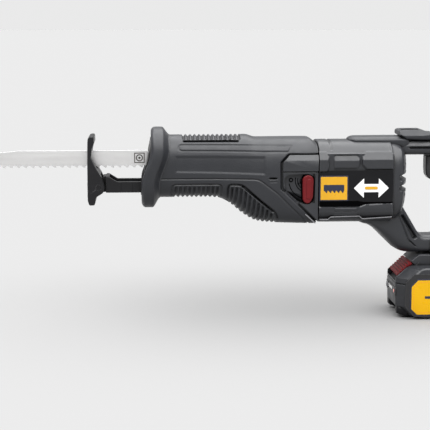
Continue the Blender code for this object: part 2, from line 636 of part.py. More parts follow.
# Handle -------------------------------------------------------------------------------------------
def make_handle():
    """D-handle in two shells that meet on the middle plane."""
    stations = [(CAP_X + GAP, 105.6, 194.6, 38.2), (170.0, 107.0, 193.0, 37.0), (176.0, 110.0, 190.0, 34.0)]
    hollow = [(CAP_X - 2, 108.6, 191.6, 35.2), (168.0, 110.0, 190.0, 34.0), (173.5, 113.0, 187.0, 31.0)]
    rail = [
        (-FOOT_HALF_WIDTH, 58.4), (-18.4, 58.4), (-18.4, 61.6), (-21.4, 61.6), (-21.4, FOOT_BOTTOM_Z),
        (21.4, FOOT_BOTTOM_Z), (21.4, 61.6), (18.4, 61.6), (18.4, 58.4), (FOOT_HALF_WIDTH, 58.4),
        (FOOT_HALF_WIDTH, 82.0), (27.0, 86.0), (-27.0, 86.0), (-FOOT_HALF_WIDTH, 82.0),
    ]
    additions = [
        loft("guide_cap", stations, "steel", power=3.2),
        prism_x("guide_foot", rail, 208.0, 285.0, "steel"),
    ]
    grip_hollow = [
        (221.5, 176.0), (226.0, 150.0), (232.0, 123.0), (238.5, 101.0), (262.0, 112.0), (259.0, 140.0),
        (254.0, 163.0), (246.0, 178.0), (238.0, 186.0), (221.5, 186.0),
    ]
    strut_hollow = [
        (150.0, 100.0), (170.0, 78.0), (178.0, 74.0), (200.0, 74.0), (200.0, 86.0), (191.0, 86.0),
        (172.0, 116.0), (160.0, 116.0),
    ]
    cutters = [
        loft("guide_cap_inside", hollow, "steel", power=3.2),
        loft("guide_barrel_clear", barrel_stations(-GAP, 60.0, CAP_X + GAP), "steel", power=3.2),
        prism_y("guide_loop", LOOP_OUTLINE, -40.0, 40.0, "steel"),
        prism_y("guide_handle_inside", grip_hollow, -13.5, 13.5, "steel"),
        prism_y("guide_strut_inside", strut_hollow, -13.5, 13.5, "steel"),
        block("guide_bar_inside", (170.0, 228.0), (-13.5, 13.5), (182.5, 192.5)),
        block("guide_foot_inside", (212.0, 281.0), (-27.5, 27.5), (73.0, 82.5)),
        block("guide_foot_link", (196.0, 214.0), (-13.5, 13.5), (74.0, 86.0)),
        block("guide_foot_neck", (238.0, 262.0), (-13.5, 13.5), (81.0, 104.0)),
        block("guide_terminal_way", (262.0, 281.3), (-17.0, 17.0), (60.0, 76.0)),
        block("guide_trigger_way", (205.0, 227.0), (-8.4, 8.4), (150.6, 177.6)),
        rod("guide_lock_way", 5.3, -30.0, 30.0, "Y", (232.0, 0, 186.0), "steel"),
        *screw_ways(),
    ]
    halves = (("handle_left", (-GAP / 2, 60)), ("handle_right", (-60, GAP / 2)))
    for name, removed in halves:
        shell = prism_y(name, HANDLE_OUTLINE, -HANDLE_HALF_WIDTH, HANDLE_HALF_WIDTH, "shell_grey", chamfer=3.0)
        join(shell, *additions)
        cut(shell, *cutters, block(f"guide_{name}_plane", (0, 400), removed, (0, 300)))


def make_pads():
    """Rubber pads: one over the rear of the barrel and the top bar, one down the back of the grip."""
    top = [
        (108.2, 196.3), (113.5, 200.9), (158.0, 200.9), (160.5, 206.8), (188.0, 207.0), (200.0, 204.4),
        (226.0, 200.2), (244.0, 195.2), (243.0, 192.6), (229.0, 196.2), (157.0, 196.2),
    ]
    prism_y("top_pad", top, -16.0, 16.0, "rubber_dark")
    back = [
        (244.3, 192.6), (245.6, 194.8), (256.5, 184.0), (264.6, 166.0), (269.6, 141.6), (274.4, 113.0),
        (283.0, 93.5), (279.6, 92.3), (270.5, 112.2), (265.5, 141.1), (260.5, 165.2), (252.4, 182.3),
    ]
    prism_y("grip_pad", back, -15.0, 15.0, "rubber_dark")


def make_trigger():
    """Trigger with its return spring and the switch behind it, and the lock-off button above."""
    outline = [
        (197.0, 177.0), (197.4, 166.0), (199.5, 156.0), (203.5, 151.2), (208.0, 151.2), (214.5, 153.0),
        (214.5, 160.0), (222.0, 160.0), (222.0, 174.0), (214.5, 174.0), (214.5, 177.0),
    ]
    prism_y("trigger", outline, -8.0, 8.0, "plastic_black", (214.0, 0, 167.0), chamfer=1.2)
    block("trigger_switch", (230.2, 246.5), (-11.0, 11.0), (152.0, 172.0), "plastic_black", chamfer=1.0)
    coil("trigger_spring", 3.6, 0.5, 5, 222.3, 229.9, "X", (0, 0, 167.0), "steel")
    button = [(0, -20.0), (3.8, -20.0), (5.0, -19.0), (5.0, 19.0), (3.8, 20.0), (0, 20.0)]
    turned("lock_off_button", button, "Y", (232.0, 0, 186.0), "plastic_black", (232.0, 0, 186.0))


def make_electronics():
    """Motor controller in the handle's foot and the tool's side of the battery contacts."""
    block("controller_module", (214.0, 252.0), (-24.0, 24.0), (73.6, 80.6), "board_green", chamfer=1.0)
    body = ((264.0, 280.6), (-15.0, 15.0), (62.0, 73.0))
    terminals = block("tool_terminal_block", *body, "plastic_black")
    for i, y in enumerate((-12.0, -4.0, 4.0, 12.0)):
        join(terminals, block(f"guide_contact_{i}", (251.0, 266.0), (y - 0.5, y + 0.5), (63.2, 68.6)))


# Battery ------------------------------------------------------------------------------------------
def battery_plan(inset, nose=0.0):
    """Plan of the battery: a rectangle with deep corner chamfers, its front set back by nose."""
    x0, x1 = BATTERY_FRONT_X + inset + nose, REAR_X - inset
    half = BATTERY_HALF_WIDTH - inset
    slope = inset * 0.45
    front, back = 14.0, 8.0
    return [
        (x0, -half + front - slope), (x0 + front - slope, -half), (x1 - back, -half), (x1, -half + back),
        (x1, half - back), (x1 - back, half), (x0 + front - slope, half), (x0, half - front + slope),
    ]


def make_battery_case():
    """Lower tray and upper cover with the slide rails, both open towards the cells."""
    tray = bmesh.new()
    levels = ((0.0, 3.0, 13.0), (3.0, 0.0, 10.5), (12.5, 0.0, 0.0), (BATTERY_SPLIT_Z - GAP, 0.0, 0.0))
    rings = [[tray.verts.new((x, y, z)) for x, y in battery_plan(inset, nose)] for z, inset, nose in levels]
    for near, far in zip(rings, rings[1:]):
        for j in range(len(near)):
            k = (j + 1) % len(near)
            tray.faces.new((near[j], near[k], far[k], far[j]))
    tray.faces.new(rings[0])
    tray.faces.new(rings[-1])
    lower = mesh_object("battery_case_lower", tray, "shell_grey", (0, 0, 0))
    cut(
        lower,
        prism_z("guide_tray_upper", battery_plan(2.6), 12.0, 60.0, "steel"),
        block("guide_tray_lower", (184.6, 277.0), (-32.9, 32.9), (2.8, 14.0)),
        block("guide_gauge_seat", (150.0, 164.4), (-22.4, 22.4), (22.6, 35.4)),
    )

    upper = prism_z("battery_case_upper", battery_plan(0.0), BATTERY_SPLIT_Z, BATTERY_TOP_Z, "shell_grey")
    rail = [(-18.0, 50.0), (18.0, 50.0), (18.0, 61.9), (21.0, 61.9), (21.0, RAIL_TOP_Z), (-21.0, RAIL_TOP_Z),
            (-21.0, 61.9), (-18.0, 61.9)]
    ramp = [(180.8, 52.0), (180.8, 62.4), (189.6, RAIL_TOP_Z), (207.5, RAIL_TOP_Z), (207.5, 52.0)]
    join(
        upper,
        prism_x("guide_rail", rail, 206.0, 262.0, "steel"),
        prism_y("guide_ramp", ramp, -21.0, 21.0, "steel"),
    )
    cut(
        upper,
        prism_z("guide_cover_inside", battery_plan(2.6), 30.0, 55.4, "steel"),
        block("guide_rail_inside", (196.0, 245.0), (-14.0, 14.0), (50.0, 66.0)),
        latch_slab("guide_latch_way", -30.0, 10.6, 21.9, 0.6, "steel"),
    )
    for i, y in enumerate((-12.0, -4.0, 4.0, 12.0)):
        cut(upper, block(f"guide_contact_way_{i}", (248.0, 270.0), (y - 1.0, y + 1.0), (62.6, 75.0)))


LATCH_LOW = (164.5, 46.7)
LATCH_HIGH = (180.0, 61.7)
LATCH_LENGTH = math.dist(LATCH_LOW, LATCH_HIGH)


def latch_point(along, inward):
    """Point in X and Z on the slanted latch face, along it and in behind it."""
    ux = (LATCH_HIGH[0] - LATCH_LOW[0]) / LATCH_LENGTH
    uz = (LATCH_HIGH[1] - LATCH_LOW[1]) / LATCH_LENGTH
    return (LATCH_LOW[0] + ux * along + uz * inward, LATCH_LOW[1] + uz * along - ux * inward)


def latch_slab(name, outside, inside, half_width, margin, finish, origin=(0, 0, 0)):
    """A slab on the slanted latch line, thick between the two offsets."""
    ends = (-margin, LATCH_LENGTH + margin)
    outline = [latch_point(ends[0], outside), latch_point(ends[1], outside)]
    outline += [latch_point(ends[1], inside), latch_point(ends[0], inside)]
    return prism_y(name, outline, -half_width, half_width, finish, origin)


def make_latch():
    """Sprung release button in the slanted front of the battery."""
    latch_slab("battery_latch", 0.0, 5.0, 21.0, 0.0, "lever_red", (172.0, 0, 54.0))
    bends = [(4.0, 5.3), (6.0, 5.3), (11.0, 9.6), (16.0, 5.3), (18.0, 5.3), (18.0, 5.9), (16.3, 5.9)]
    bends += [(11.3, 10.2), (10.7, 10.2), (5.7, 5.9), (4.0, 5.9)]
    prism_y("latch_spring", [latch_point(*bend) for bend in bends], -6.0, 6.0, "steel")


def cell_row(name, z, first_x):
    """Five round cells lying across the battery, welded side by side."""
    overlap = math.degrees(math.acos(CELL_PITCH / 2 / CELL_RADIUS))
    outline = []
    for i in range(5):
        start = 180.0 - (overlap if i else 0.0)
        stop = overlap if i < 4 else 0.0
        outline += arc(first_x + i * CELL_PITCH, z, CELL_RADIUS, start, stop, 8)[:-1]
    for i in reversed(range(5)):
        start = -(overlap if i < 4 else 0.0)
        stop = -180.0 + (overlap if i else 0.0)
        outline += arc(first_x + i * CELL_PITCH, z, CELL_RADIUS, start, stop, 8)[:-1]
    prism_y(name, outline, -32.5, 32.5, "cell_blue")


def make_battery_inside():
    """Ten cells in two rows, the board above them and its contacts."""
    cell_row("cell_row_lower", 13.2, 194.2)
    cell_row("cell_row_upper", 32.2, 194.2)
    block("battery_board", (192.0, 270.0), (-24.0, 24.0), (44.0, 45.8), "board_green")
    block("battery_contacts", (225.0, 243.0), (-12.5, 12.5), (46.1, 62.0), "brass", chamfer=0.8)


def make_gauge():
    """Charge gauge on the front of the battery, with its push button."""
    panel = block("gauge_panel", (161.9, 164.0), (-22.0, 22.0), (23.0, 35.0), "plastic_black")
    cut(panel, rod("guide_gauge_hole", 3.9, 150.0, 170.0, "X", (0, 14.0, 29.0), "steel"))
    button = [(0, 161.0), (2.8, 161.0), (3.5, 161.7), (3.5, 163.0), (0, 163.0)]
    turned("gauge_button", button, "X", (0, 14.0, 29.0), "lever_red", (161.5, 14.0, 29.0), sides=16)


# Fasteners ----------------------------------------------------------------------------------------
HANDLE_SCREWS = ((163.0, 94.0), (203.0, 80.0), (252.0, 118.0), (212.0, 187.5))


def screw_ways():
    """Counterbores and clearance holes for the handle's screws."""
    ways = []
    for i, (x, z) in enumerate(HANDLE_SCREWS, 1):
        way = [(0, -15.5), (1.9, -15.5), (1.9, 12.0), (3.9, 12.0), (3.9, 30.0), (0, 30.0)]
        ways.append(turned(f"guide_screw_way_{i}", way, "Y", (x, 0.0, z), "steel", sides=12))
    return ways


def make_screws():
    """Pan-head screws that hold the handle shells together, entered from the right."""
    profile = [
        (0, 14.0), (1.5, 14.0), (1.5, 15.4), (3.4, 15.4), (3.4, 12.3), (1.6, 12.3), (1.6, -14.0), (0, -14.0),
    ]
    for i, (x, z) in enumerate(HANDLE_SCREWS, 1):
        turned(f"handle_screw_{i}", profile, "Y", (x, 0.0, z), "black_steel", sides=12)


def main():
    clear_scene()
    make_blade()
    make_plunger()
    make_clamp()
    make_bearings_of_plunger()
    make_shoe()
    make_shoe_arm()
    make_boot()
    make_front_grip()
    make_gear_case()
    make_crank()
    make_selector()
    make_motor()
    make_motor_housing()
    make_handle()
    make_pads()
    make_trigger()
    make_electronics()
    make_battery_case()
    make_latch()
    make_battery_inside()
    make_gauge()
    make_screws()


main()
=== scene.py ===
"""Finished look of a cordless reciprocating saw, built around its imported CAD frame.

The blade points towards -X, +Z is up and the battery's base stands on Z = 0.  The left side of the
tool is the -Y side.  Sizes are millimetres; to_object() turns them into metres.
"""

import json
import math

import bmesh
import bpy
import numpy as np
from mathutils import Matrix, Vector


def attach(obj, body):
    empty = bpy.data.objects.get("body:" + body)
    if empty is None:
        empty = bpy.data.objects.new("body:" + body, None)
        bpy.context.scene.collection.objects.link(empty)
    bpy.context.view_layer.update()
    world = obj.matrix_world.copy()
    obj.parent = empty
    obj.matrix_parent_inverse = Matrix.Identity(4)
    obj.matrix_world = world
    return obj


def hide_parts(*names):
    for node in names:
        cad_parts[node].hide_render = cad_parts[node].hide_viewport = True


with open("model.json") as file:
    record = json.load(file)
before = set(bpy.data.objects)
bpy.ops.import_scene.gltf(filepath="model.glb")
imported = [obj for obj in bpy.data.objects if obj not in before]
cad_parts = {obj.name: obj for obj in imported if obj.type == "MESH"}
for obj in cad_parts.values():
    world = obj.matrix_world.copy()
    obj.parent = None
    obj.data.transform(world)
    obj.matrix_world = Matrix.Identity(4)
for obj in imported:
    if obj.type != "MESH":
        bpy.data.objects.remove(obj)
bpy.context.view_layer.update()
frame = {"nodes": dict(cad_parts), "record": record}

MM = 0.001
SIDES = (("left", -1), ("right", 1))     # each side and its sign in Y

CAMERA_PLACE = (-0.1066, -1.3009, 0.3234)
CAMERA_AIM = (-0.034, 0, 0.112)
CAMERA_LENS = 100.5
# Brightness of the low sky against the sine of the height above the horizon
LOW_SKY = ((0, 0.82), (0.055, 0.82), (0.13, 0.25), (1, 0.25))
PANEL_HEIGHTS = (0.42, 0.64)   # where the panel starts and where it is at full strength
PANEL_STRENGTH = 5.3
PANEL_LEAN = (1.3, 0.55, -0.9, 0.9)      # strength in front, at the back, and where those start
FLOOR_REACH = 40000            # how far the floor goes from the middle, each way
FLOOR_COLOUR = (0.224, 0.224, 0.224, 1)

PLUNGER_Z = 174.5


# ---- Materials
WEAR_RADIUS = 0.0009           # metres from an edge that is rubbed
# Painted shade: reach of the ambient occlusion that darkens the base colour in hollows
PAINTED_SHADE_REACH = 0.004           # metres over which a hollow darkens


class Nodes:
    """Small helper that adds and links shader nodes."""

    def __init__(self, owner, shader="Principled BSDF"):
        owner.use_nodes = True
        self.tree = owner.node_tree
        self.shader = self.tree.nodes[shader]

    def add(self, kind, inputs=(), **settings):
        node = self.tree.nodes.new(kind)
        for key, value in settings.items():
            setattr(node, key, value)
        for key, value in dict(inputs).items():
            if isinstance(value, bpy.types.NodeSocket):
                self.tree.links.new(value, node.inputs[key])
            else:
                node.inputs[key].default_value = value
        return node

    def noise(self, size, stretch=(1, 1, 1), detail=3):
        """Noise whose features are about size metres across."""
        coords = self.add("ShaderNodeTexCoord").outputs["Object"]
        moved = self.add("ShaderNodeMapping", {"Vector": coords, "Scale": stretch}).outputs[0]
        noise = self.add("ShaderNodeTexNoise", {"Vector": moved, "Scale": 1 / size, "Detail": detail})
        return noise.outputs["Fac"]

    def spread(self, value, low, high, start=0.3, stop=0.7):
        """Maps start..stop to low..high."""
        keys = {"Value": value, "From Min": start, "From Max": stop, "To Min": low, "To Max": high}
        return self.add("ShaderNodeMapRange", keys).outputs[0]

    def times(self, a, b):
        return self.add("ShaderNodeMath", {0: a, 1: b}, operation="MULTIPLY").outputs[0]

    def blend(self, factor, a, b):
        return self.add("ShaderNodeMix", {0: factor, 6: a, 7: b}, data_type="RGBA").outputs[2]

    def feed(self, socket, value):
        self.tree.links.new(value, self.shader.inputs[socket])


def shade(colour, factor):
    return (*[min(c * factor, 1) for c in colour], 1)


def finish(name, colour, roughness, metallic=0, tone=0.08, patch=0.03, grain=0.12, grain_size=0.0009,
           stretch=(1, 1, 1), wear=0, wear_colour=(0.16, 0.16, 0.17), coat=0, gloss=0.5):
    """A moulded or machined surface: mottled colour, grainy bump, varied gloss, worn edges and painted shade
    in its hollows.
    """
    material = bpy.data.materials.new(name)
    nodes = Nodes(material)
    mottle = nodes.noise(patch, stretch)
    surface = nodes.blend(nodes.spread(mottle, 0, 1), shade(colour, 1 - tone), shade(colour, 1 + tone))
    if wear:
        true_normal = nodes.add("ShaderNodeNewGeometry").outputs["Normal"]
        round_normal = nodes.add("ShaderNodeBevel", {"Radius": WEAR_RADIUS}, samples=4).outputs[0]
        pair = {0: round_normal, 1: true_normal}
        likeness = nodes.add("ShaderNodeVectorMath", pair, operation="DOT_PRODUCT").outputs["Value"]
        rubbed = nodes.spread(likeness, 1, 0, 0.86, 0.985)
        amount = nodes.times(nodes.times(rubbed, nodes.spread(nodes.noise(0.012), 0.3, 1)), wear)
        surface = nodes.blend(amount, surface, (*wear_colour, 1))
    # Painted shade: the base colour is blended towards black where ambient occlusion finds a hollow close
    # by.
    open_sky = nodes.add("ShaderNodeAmbientOcclusion", {"Distance": PAINTED_SHADE_REACH}, samples=6).outputs["AO"]
    painted_shade = nodes.spread(open_sky, 0.03, 1, 0.4, 0.92)
    nodes.feed("Base Color", nodes.blend(painted_shade, (0, 0, 0, 1), surface))
    smudge = nodes.noise(patch * 0.4, stretch, 5)
    nodes.feed("Roughness", nodes.spread(smudge, roughness - 0.07, roughness + 0.07))
    fine = nodes.noise(grain_size, stretch, 2)
    bump = {"Height": fine, "Strength": grain, "Distance": grain_size * 0.4}
    nodes.feed("Normal", nodes.add("ShaderNodeBump", bump).outputs[0])
    nodes.shader.inputs["Metallic"].default_value = metallic
    nodes.shader.inputs["Coat Weight"].default_value = coat
    nodes.shader.inputs["Specular IOR Level"].default_value = gloss
    return material


BRUSHED = (0.08, 1, 1)     # noise drawn out along X
FINISHES = {
    "rubber_grip": finish("grip_rubber", (0.014, 0.015, 0.018), 0.46, grain=0.25, grain_size=0.0011,
                          wear=0.2, gloss=0.42),
    "shell_grey": finish("shell_nylon", (0.018, 0.019, 0.022), 0.38, grain=0.16, wear=0.3, gloss=0.46),
    "black_plastic": finish("black_plastic", (0.01, 0.01, 0.011), 0.38, grain=0.1, wear=0.2),
    "red_plastic": finish("red_plastic", (0.108, 0.007, 0.009), 0.36, tone=0.12, grain=0.06, wear=0.2,
                          wear_colour=(0.3, 0.06, 0.06), gloss=0.18),
    "cast_aluminium": finish("cast_aluminium", (0.3, 0.3, 0.31), 0.48, 1, grain=0.35, grain_size=0.0014),
    "steel": finish("turned_steel", (0.55, 0.54, 0.53), 0.28, 1, grain=0.08, stretch=(1, 0.2, 0.2)),
    "blade_steel": finish("blade_steel", (0.8, 0.795, 0.79), 0.34, 1, tone=0.07, patch=0.01, grain=0.22,
                          grain_size=0.0006, stretch=BRUSHED),
    "black_steel": finish("black_oxide_steel", (0.011, 0.011, 0.012), 0.38, 0.2, tone=0.2, grain=0.12,
                          wear=0.35, wear_colour=(0.2, 0.2, 0.21), gloss=0.25),
    "brass": finish("brass", (0.6, 0.42, 0.15), 0.32, 1, grain=0.1),
    "board_green": finish("coated_board", (0.012, 0.09, 0.03), 0.35, tone=0.2, patch=0.006, grain=0.2,
                          grain_size=0.0025),
    "cell_sleeve": finish("cell_sleeve", (0.03, 0.12, 0.33), 0.3, tone=0.1, grain=0.05),
}
SLOTS = {material.name: slot for slot, material in FINISHES.items()}
RUBBER = FINISHES["rubber_grip"]
SHELL = FINISHES["shell_grey"]
BLACK = FINISHES["black_plastic"]
RED = FINISHES["red_plastic"]
BLACK_STEEL = FINISHES["black_steel"]
LATCH_RED = finish("latch_red", (0.118, 0.008, 0.01), 0.44, tone=0.12, grain=0.06, wear=0.15,
                   wear_colour=(0.22, 0.04, 0.04), gloss=0.1)
# Pale grey of the gauge button, also used as painted highlight on edges and ledges that catch the light.
PALE_GREY_AND_HIGHLIGHT = finish("pale_grey_nylon_and_painted_highlight", (0.16, 0.16, 0.17), 0.4, grain=0.14, wear=0.15)
INLAY_BLACK = finish("inlay_black", (0.004, 0.004, 0.005), 0.4, tone=0.15, grain=0.08, gloss=0.2)
# Near-black for small marks, and for painted shade in the channel under the label inlay and round the
# selector lever.
NEAR_BLACK_MARK_AND_SHADE = finish("near_black_marks_and_painted_shade", (0.0008, 0.0008, 0.0009), 0.6, tone=0.15, grain=0.08, gloss=0.02)
LABEL_YELLOW = finish("label_yellow", (0.55, 0.288, 0.012), 0.3, tone=0.05, grain=0.1, grain_size=0.0016,
                      gloss=0.35)
PANEL_YELLOW = finish("panel_yellow", (0.565, 0.305, 0.001), 0.3, tone=0.05, grain=0.1,
                      grain_size=0.0016, gloss=0.25)
LABEL_ORANGE = finish("label_orange", (0.62, 0.25, 0.002), 0.32, grain=0.08)
LABEL_NAVY = finish("label_navy", (0.01, 0.014, 0.035), 0.32, grain=0.08)
LABEL_WHITE = finish("label_white", (0.72, 0.72, 0.72), 0.34, tone=0.03, grain=0.08)
ETCH_BROWN = finish("etched_mark", (0.04, 0.032, 0.028), 0.45, tone=0.25, patch=0.002)
LENS_WHITE = finish("gauge_lens", (0.7, 0.7, 0.7), 0.15, tone=0.03, coat=0.5)
LENS_RED = finish("gauge_light", (0.85, 0.25, 0.22), 0.15, tone=0.1, patch=0.003, coat=0.5)


# ---- Outlines and masks, all in millimetres
def arc(cx, cz, radius, start, stop, steps=12):
    """Points on an arc, angles in degrees."""
    angles = [math.radians(start + (stop - start) * i / steps) for i in range(steps + 1)]
    return [(cx + radius * math.cos(a), cz + radius * math.sin(a)) for a in angles]


def box(x0, z0, x1, z1):
    """Outline of an upright rectangle from two opposite corners."""
    return [(x0, z0), (x1, z0), (x1, z1), (x0, z1)]


def mirrored(points):
    """Outline from its right half, mirrored about zero."""
    return points + [(-u, v) for u, v in reversed(points)]


def rounded(points, radius, steps=5):
    """A closed outline with its corners rounded off."""
    outline = []
    count = len(points)
    for i, (px, pz) in enumerate(points):
        (ax, az), (bx, bz) = points[i - 1], points[(i + 1) % count]
        la, lb = math.hypot(ax - px, az - pz), math.hypot(bx - px, bz - pz)
        ta, tb = min(radius, 0.48 * la) / la, min(radius, 0.48 * lb) / lb
        start = (px + (ax - px) * ta, pz + (az - pz) * ta)
        end = (px + (bx - px) * tb, pz + (bz - pz) * tb)
        for k in range(steps + 1):
            t = k / steps
            w0, w1, w2 = (1 - t) ** 2, 2 * t * (1 - t), t * t
            outline.append((start[0] * w0 + px * w1 + end[0] * w2, start[1] * w0 + pz * w1 + end[1] * w2))
    return outline


def path_distance(x, z, path, closed=False):
    """Distance from each point to a line of points."""
    best = np.full(np.shape(x), 1e6)
    ends = list(path[1:]) + ([path[0]] if closed else [])
    for (x0, z0), (x1, z1) in zip(path, ends):
        dx, dz = x1 - x0, z1 - z0
        t = np.clip(((x - x0) * dx + (z - z0) * dz) / max(dx * dx + dz * dz, 1e-9), 0, 1)
        best = np.minimum(best, np.hypot(x - x0 - t * dx, z - z0 - t * dz))
    return best


def inside_distance(x, z, outline):
    """Signed distance to a closed outline, negative inside it."""
    within = np.zeros(np.shape(x), bool)
    for (x0, z0), (x1, z1) in zip(outline, list(outline[1:]) + [outline[0]]):
        if z0 != z1:
            crosses = (z0 > z) != (z1 > z)
            within ^= crosses & (x < (x1 - x0) * (z - z0) / (z1 - z0) + x0)
    distance = path_distance(x, z, outline, closed=True)
    return np.where(within, -distance, distance)


def ramp(distance, soft=0.9):
    """1 well inside, 0 well outside, with an eased edge that is soft wide."""
    t = np.clip(0.5 - distance / soft, 0, 1)
    return t * t * (3 - 2 * t)


def groove(distance, width=1.2, soft=0.7):
    return ramp(np.abs(distance) - width / 2, soft)


def rib_wave(along, pitch, share=0.45):
    """1 in the valleys and 0 on the crests of evenly spaced ribs."""
    phase = np.abs((along / pitch) % 1 - 0.5) * 2
    return ramp((phase - share) * pitch / 2, 0.35 * pitch)


# ---- Meshes
def place(name, data):
    """New object in the scene."""
    obj = bpy.data.objects.new(name, data)
    bpy.context.scene.collection.objects.link(obj)
    return obj


def settle(obj):
    """Mesh of an object as its modifiers or its curve settings leave it."""
    return bpy.data.meshes.new_from_object(obj.evaluated_get(bpy.context.evaluated_depsgraph_get()))


def even_flats(obj):
    """Keeps flat faces flat next to their rounded rims."""
    obj.modifiers.new("flat_faces", "WEIGHTED_NORMAL").keep_sharp = True
    return obj


def to_object(name, bm, material, sharp=None):
    """Makes a smooth-shaded object in metres from a bmesh in millimetres."""
    bmesh.ops.remove_doubles(bm, verts=bm.verts, dist=0.0005)
    bmesh.ops.recalc_face_normals(bm, faces=bm.faces)
    bmesh.ops.scale(bm, verts=bm.verts, vec=(MM, MM, MM))
    mesh = bpy.data.meshes.new(name)
    bm.to_mesh(mesh)
    bm.free()
    mesh.shade_smooth()
    if sharp:
        mesh.set_sharp_from_angle(angle=math.radians(sharp))
    mesh.materials.append(material)
    return place(name, mesh)


def add(obj, *nodes, body="tool_body", slot=None):
    """Fixes a piece, which may stand for CAD nodes, to a body.  It works out a slot, black plastic for
    trims, but does not use it.
    """
    slot = slot or SLOTS.get(obj.data.materials[0].name, "black_plastic")
    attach(obj, body)
    if nodes:
        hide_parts(*nodes)
    return obj


def evenly(u, v, count):
    """Evenly spaced points along a closed line of points."""
    length = np.concatenate([[0], np.cumsum(np.hypot(np.diff(u), np.diff(v)))])
    even = np.linspace(0, length[-1], count + 1)[:-1]
    return np.interp(even, length, u), np.interp(even, length, v)


def section(half, low, high, middle, top_power, low_power, count):
    """Evenly spaced points round a rounded oblong, from its top; higher powers make squarer corners."""
    a = np.linspace(0, 2 * math.pi, 1441)
    s, c = np.sin(a), np.cos(a)
    power = np.where(c >= 0, top_power, low_power)
    reach = np.where(c >= 0, high - middle, middle - low)
    y = half * np.sign(s) * np.abs(s) ** (2 / power)
    z = middle + reach * np.sign(c) * np.abs(c) ** (2 / power)
    return evenly(y, z, count)


def eased(x, table, column, soft):
    """A column of a table of stations, read at x and smoothed over a few millimetres."""
    keys = [row[0] for row in table]
    values = [row[column] for row in table]
    nearby = [np.interp(x + offset * soft, keys, values) for offset in (-1, -0.5, 0, 0.5, 1)]
    return sum(nearby) / len(nearby)


def ring_grid(rings):
    """Grid from rings of X, Y and Z, where one number may stand for a whole ring."""
    return np.array([np.stack(np.broadcast_arrays(*ring), axis=-1) for ring in rings], float)


def parts_of(grid):
    """X, distance from the middle plane and Z of a grid's points."""
    return grid[..., 0], np.abs(grid[..., 1]), grid[..., 2]


def tube(table, spacing, count, soft=2):
    """Grid of rings along X from stations (x, half, low, high, middle, top power, low power)."""
    first, last = table[0][0], table[-1][0]
    rows = max(int(round((last - first) / spacing)), 2)
    stations = np.linspace(first, last, rows + 1)
    rings = []
    for x in stations:
        values = [eased(x, table, column, soft) for column in range(1, 7)]
        rings.append((x, *section(*values, count)))
    return ring_grid(rings)


def outward(grid):
    """Unit normals of a grid of closed rings."""
    along = np.gradient(grid, axis=0)
    around = np.roll(grid, -1, axis=1) - np.roll(grid, 1, axis=1)
    normal = np.cross(along, around)
    normal /= np.maximum(np.linalg.norm(normal, axis=2, keepdims=True), 1e-9)
    away = grid - grid.mean(axis=1, keepdims=True)
    return normal if (normal * away).sum() > 0 else -normal


def press(grid, depth):
    """Moves a grid's points inwards by a depth for each."""
    return grid - outward(grid) * depth[..., None]


def skin(name, grid, material, sharp=60, closed=False):
    """A mesh from a grid of rings, with flat ends or joined up from last to first."""
    rows, count = grid.shape[:2]
    bm = bmesh.new()
    verts = [bm.verts.new(p) for p in grid.reshape(-1, 3)]
    for i in range(rows if closed else rows - 1):
        near, far = i * count, (i + 1) % rows * count
        for j in range(count):
            k = (j + 1) % count
            bm.faces.new([verts[c] for c in (near + j, near + k, far + k, far + j)])
    if not closed:
        bm.faces.new(verts[:count])
        bm.faces.new(verts[-count:])
    return to_object(name, bm, material, sharp)


PLANES = {
    "XZ": lambda u, v, w: (u, w, v),
    "XY": lambda u, v, w: (u, v, w),
    "YZ": lambda u, v, w: (w, u, v),
}


def plate(name, outlines, span, edge, material, plane="XZ", steps=3):
    """A flat piece between two depths, its rims rounded; outlines after the first are holes."""
    curve = bpy.data.curves.new(name, "CURVE")
    curve.dimensions = "2D"
    curve.fill_mode = "BOTH"
    curve.extrude = abs(span[1] - span[0]) / 2 - edge
    curve.bevel_depth = edge
    curve.bevel_resolution = steps
    curve.offset = -edge
    for outline in outlines:
        spline = curve.splines.new("POLY")
        spline.points.add(len(outline) - 1)
        for point, (u, v) in zip(spline.points, outline):
            point.co = (u, v, 0, 1)
        spline.use_cyclic_u = True
    holder = place(name, curve)
    mesh = settle(holder)
    bpy.data.objects.remove(holder)
    middle = (span[0] + span[1]) / 2
    bm = bmesh.new()
    bm.from_mesh(mesh)
    bpy.data.meshes.remove(mesh)
    for vert in bm.verts:
        vert.co = PLANES[plane](vert.co.x, vert.co.y, middle + vert.co.z)
    return even_flats(to_object(name, bm, material, sharp=50))


def side_plates(name, outlines, inner, outer, edge, material, body="tool_body"):
    """The same trim on each side of the tool, between two distances from its middle plane."""
    for word, side in SIDES:
        add(plate(f"{name}_{word}", outlines, (side * inner, side * outer), edge, material), body=body)


def side_marks(name, groups, inner, outer, edge, material, body, slot, steps=3):
    """The same mark on each side of the tool, merged from several flat parts."""
    for word, side in SIDES:
        span = (side * inner, side * outer)
        parts = [plate("part", outlines, span, edge, material, steps=steps) for outlines in groups]
        add(merge(f"{name}_{word}", parts), body=body, slot=slot)


def merge(name, parts):
    """Joins several pieces into a new one, with the first one's finish."""
    bm = bmesh.new()
    for part in parts:
        bm.from_mesh(part.data)
    mesh = bpy.data.meshes.new(name)
    bm.to_mesh(mesh)
    bm.free()
    mesh.materials.append(parts[0].data.materials[0])
    for part in parts:
        bpy.data.objects.remove(part)
    return even_flats(place(name, mesh))


def cut(obj, *tools):
    """Cuts tools out of a piece for good and removes them."""
    for tool in tools:
        step = obj.modifiers.new("cut", "BOOLEAN")
        step.object = tool
        step.solver = "EXACT"
    mesh = settle(obj)
    obj.modifiers.clear()
    obj.data = mesh
    mesh.set_sharp_from_angle(angle=math.radians(40))
    for tool in tools:
        bpy.data.objects.remove(tool)
    return even_flats(obj)


def cutter(outline, span, plane="XZ"):
    """Block to cut with; what it cuts keeps its own finish."""
    return plate("cutter", [outline], span, 0, BLACK, plane)


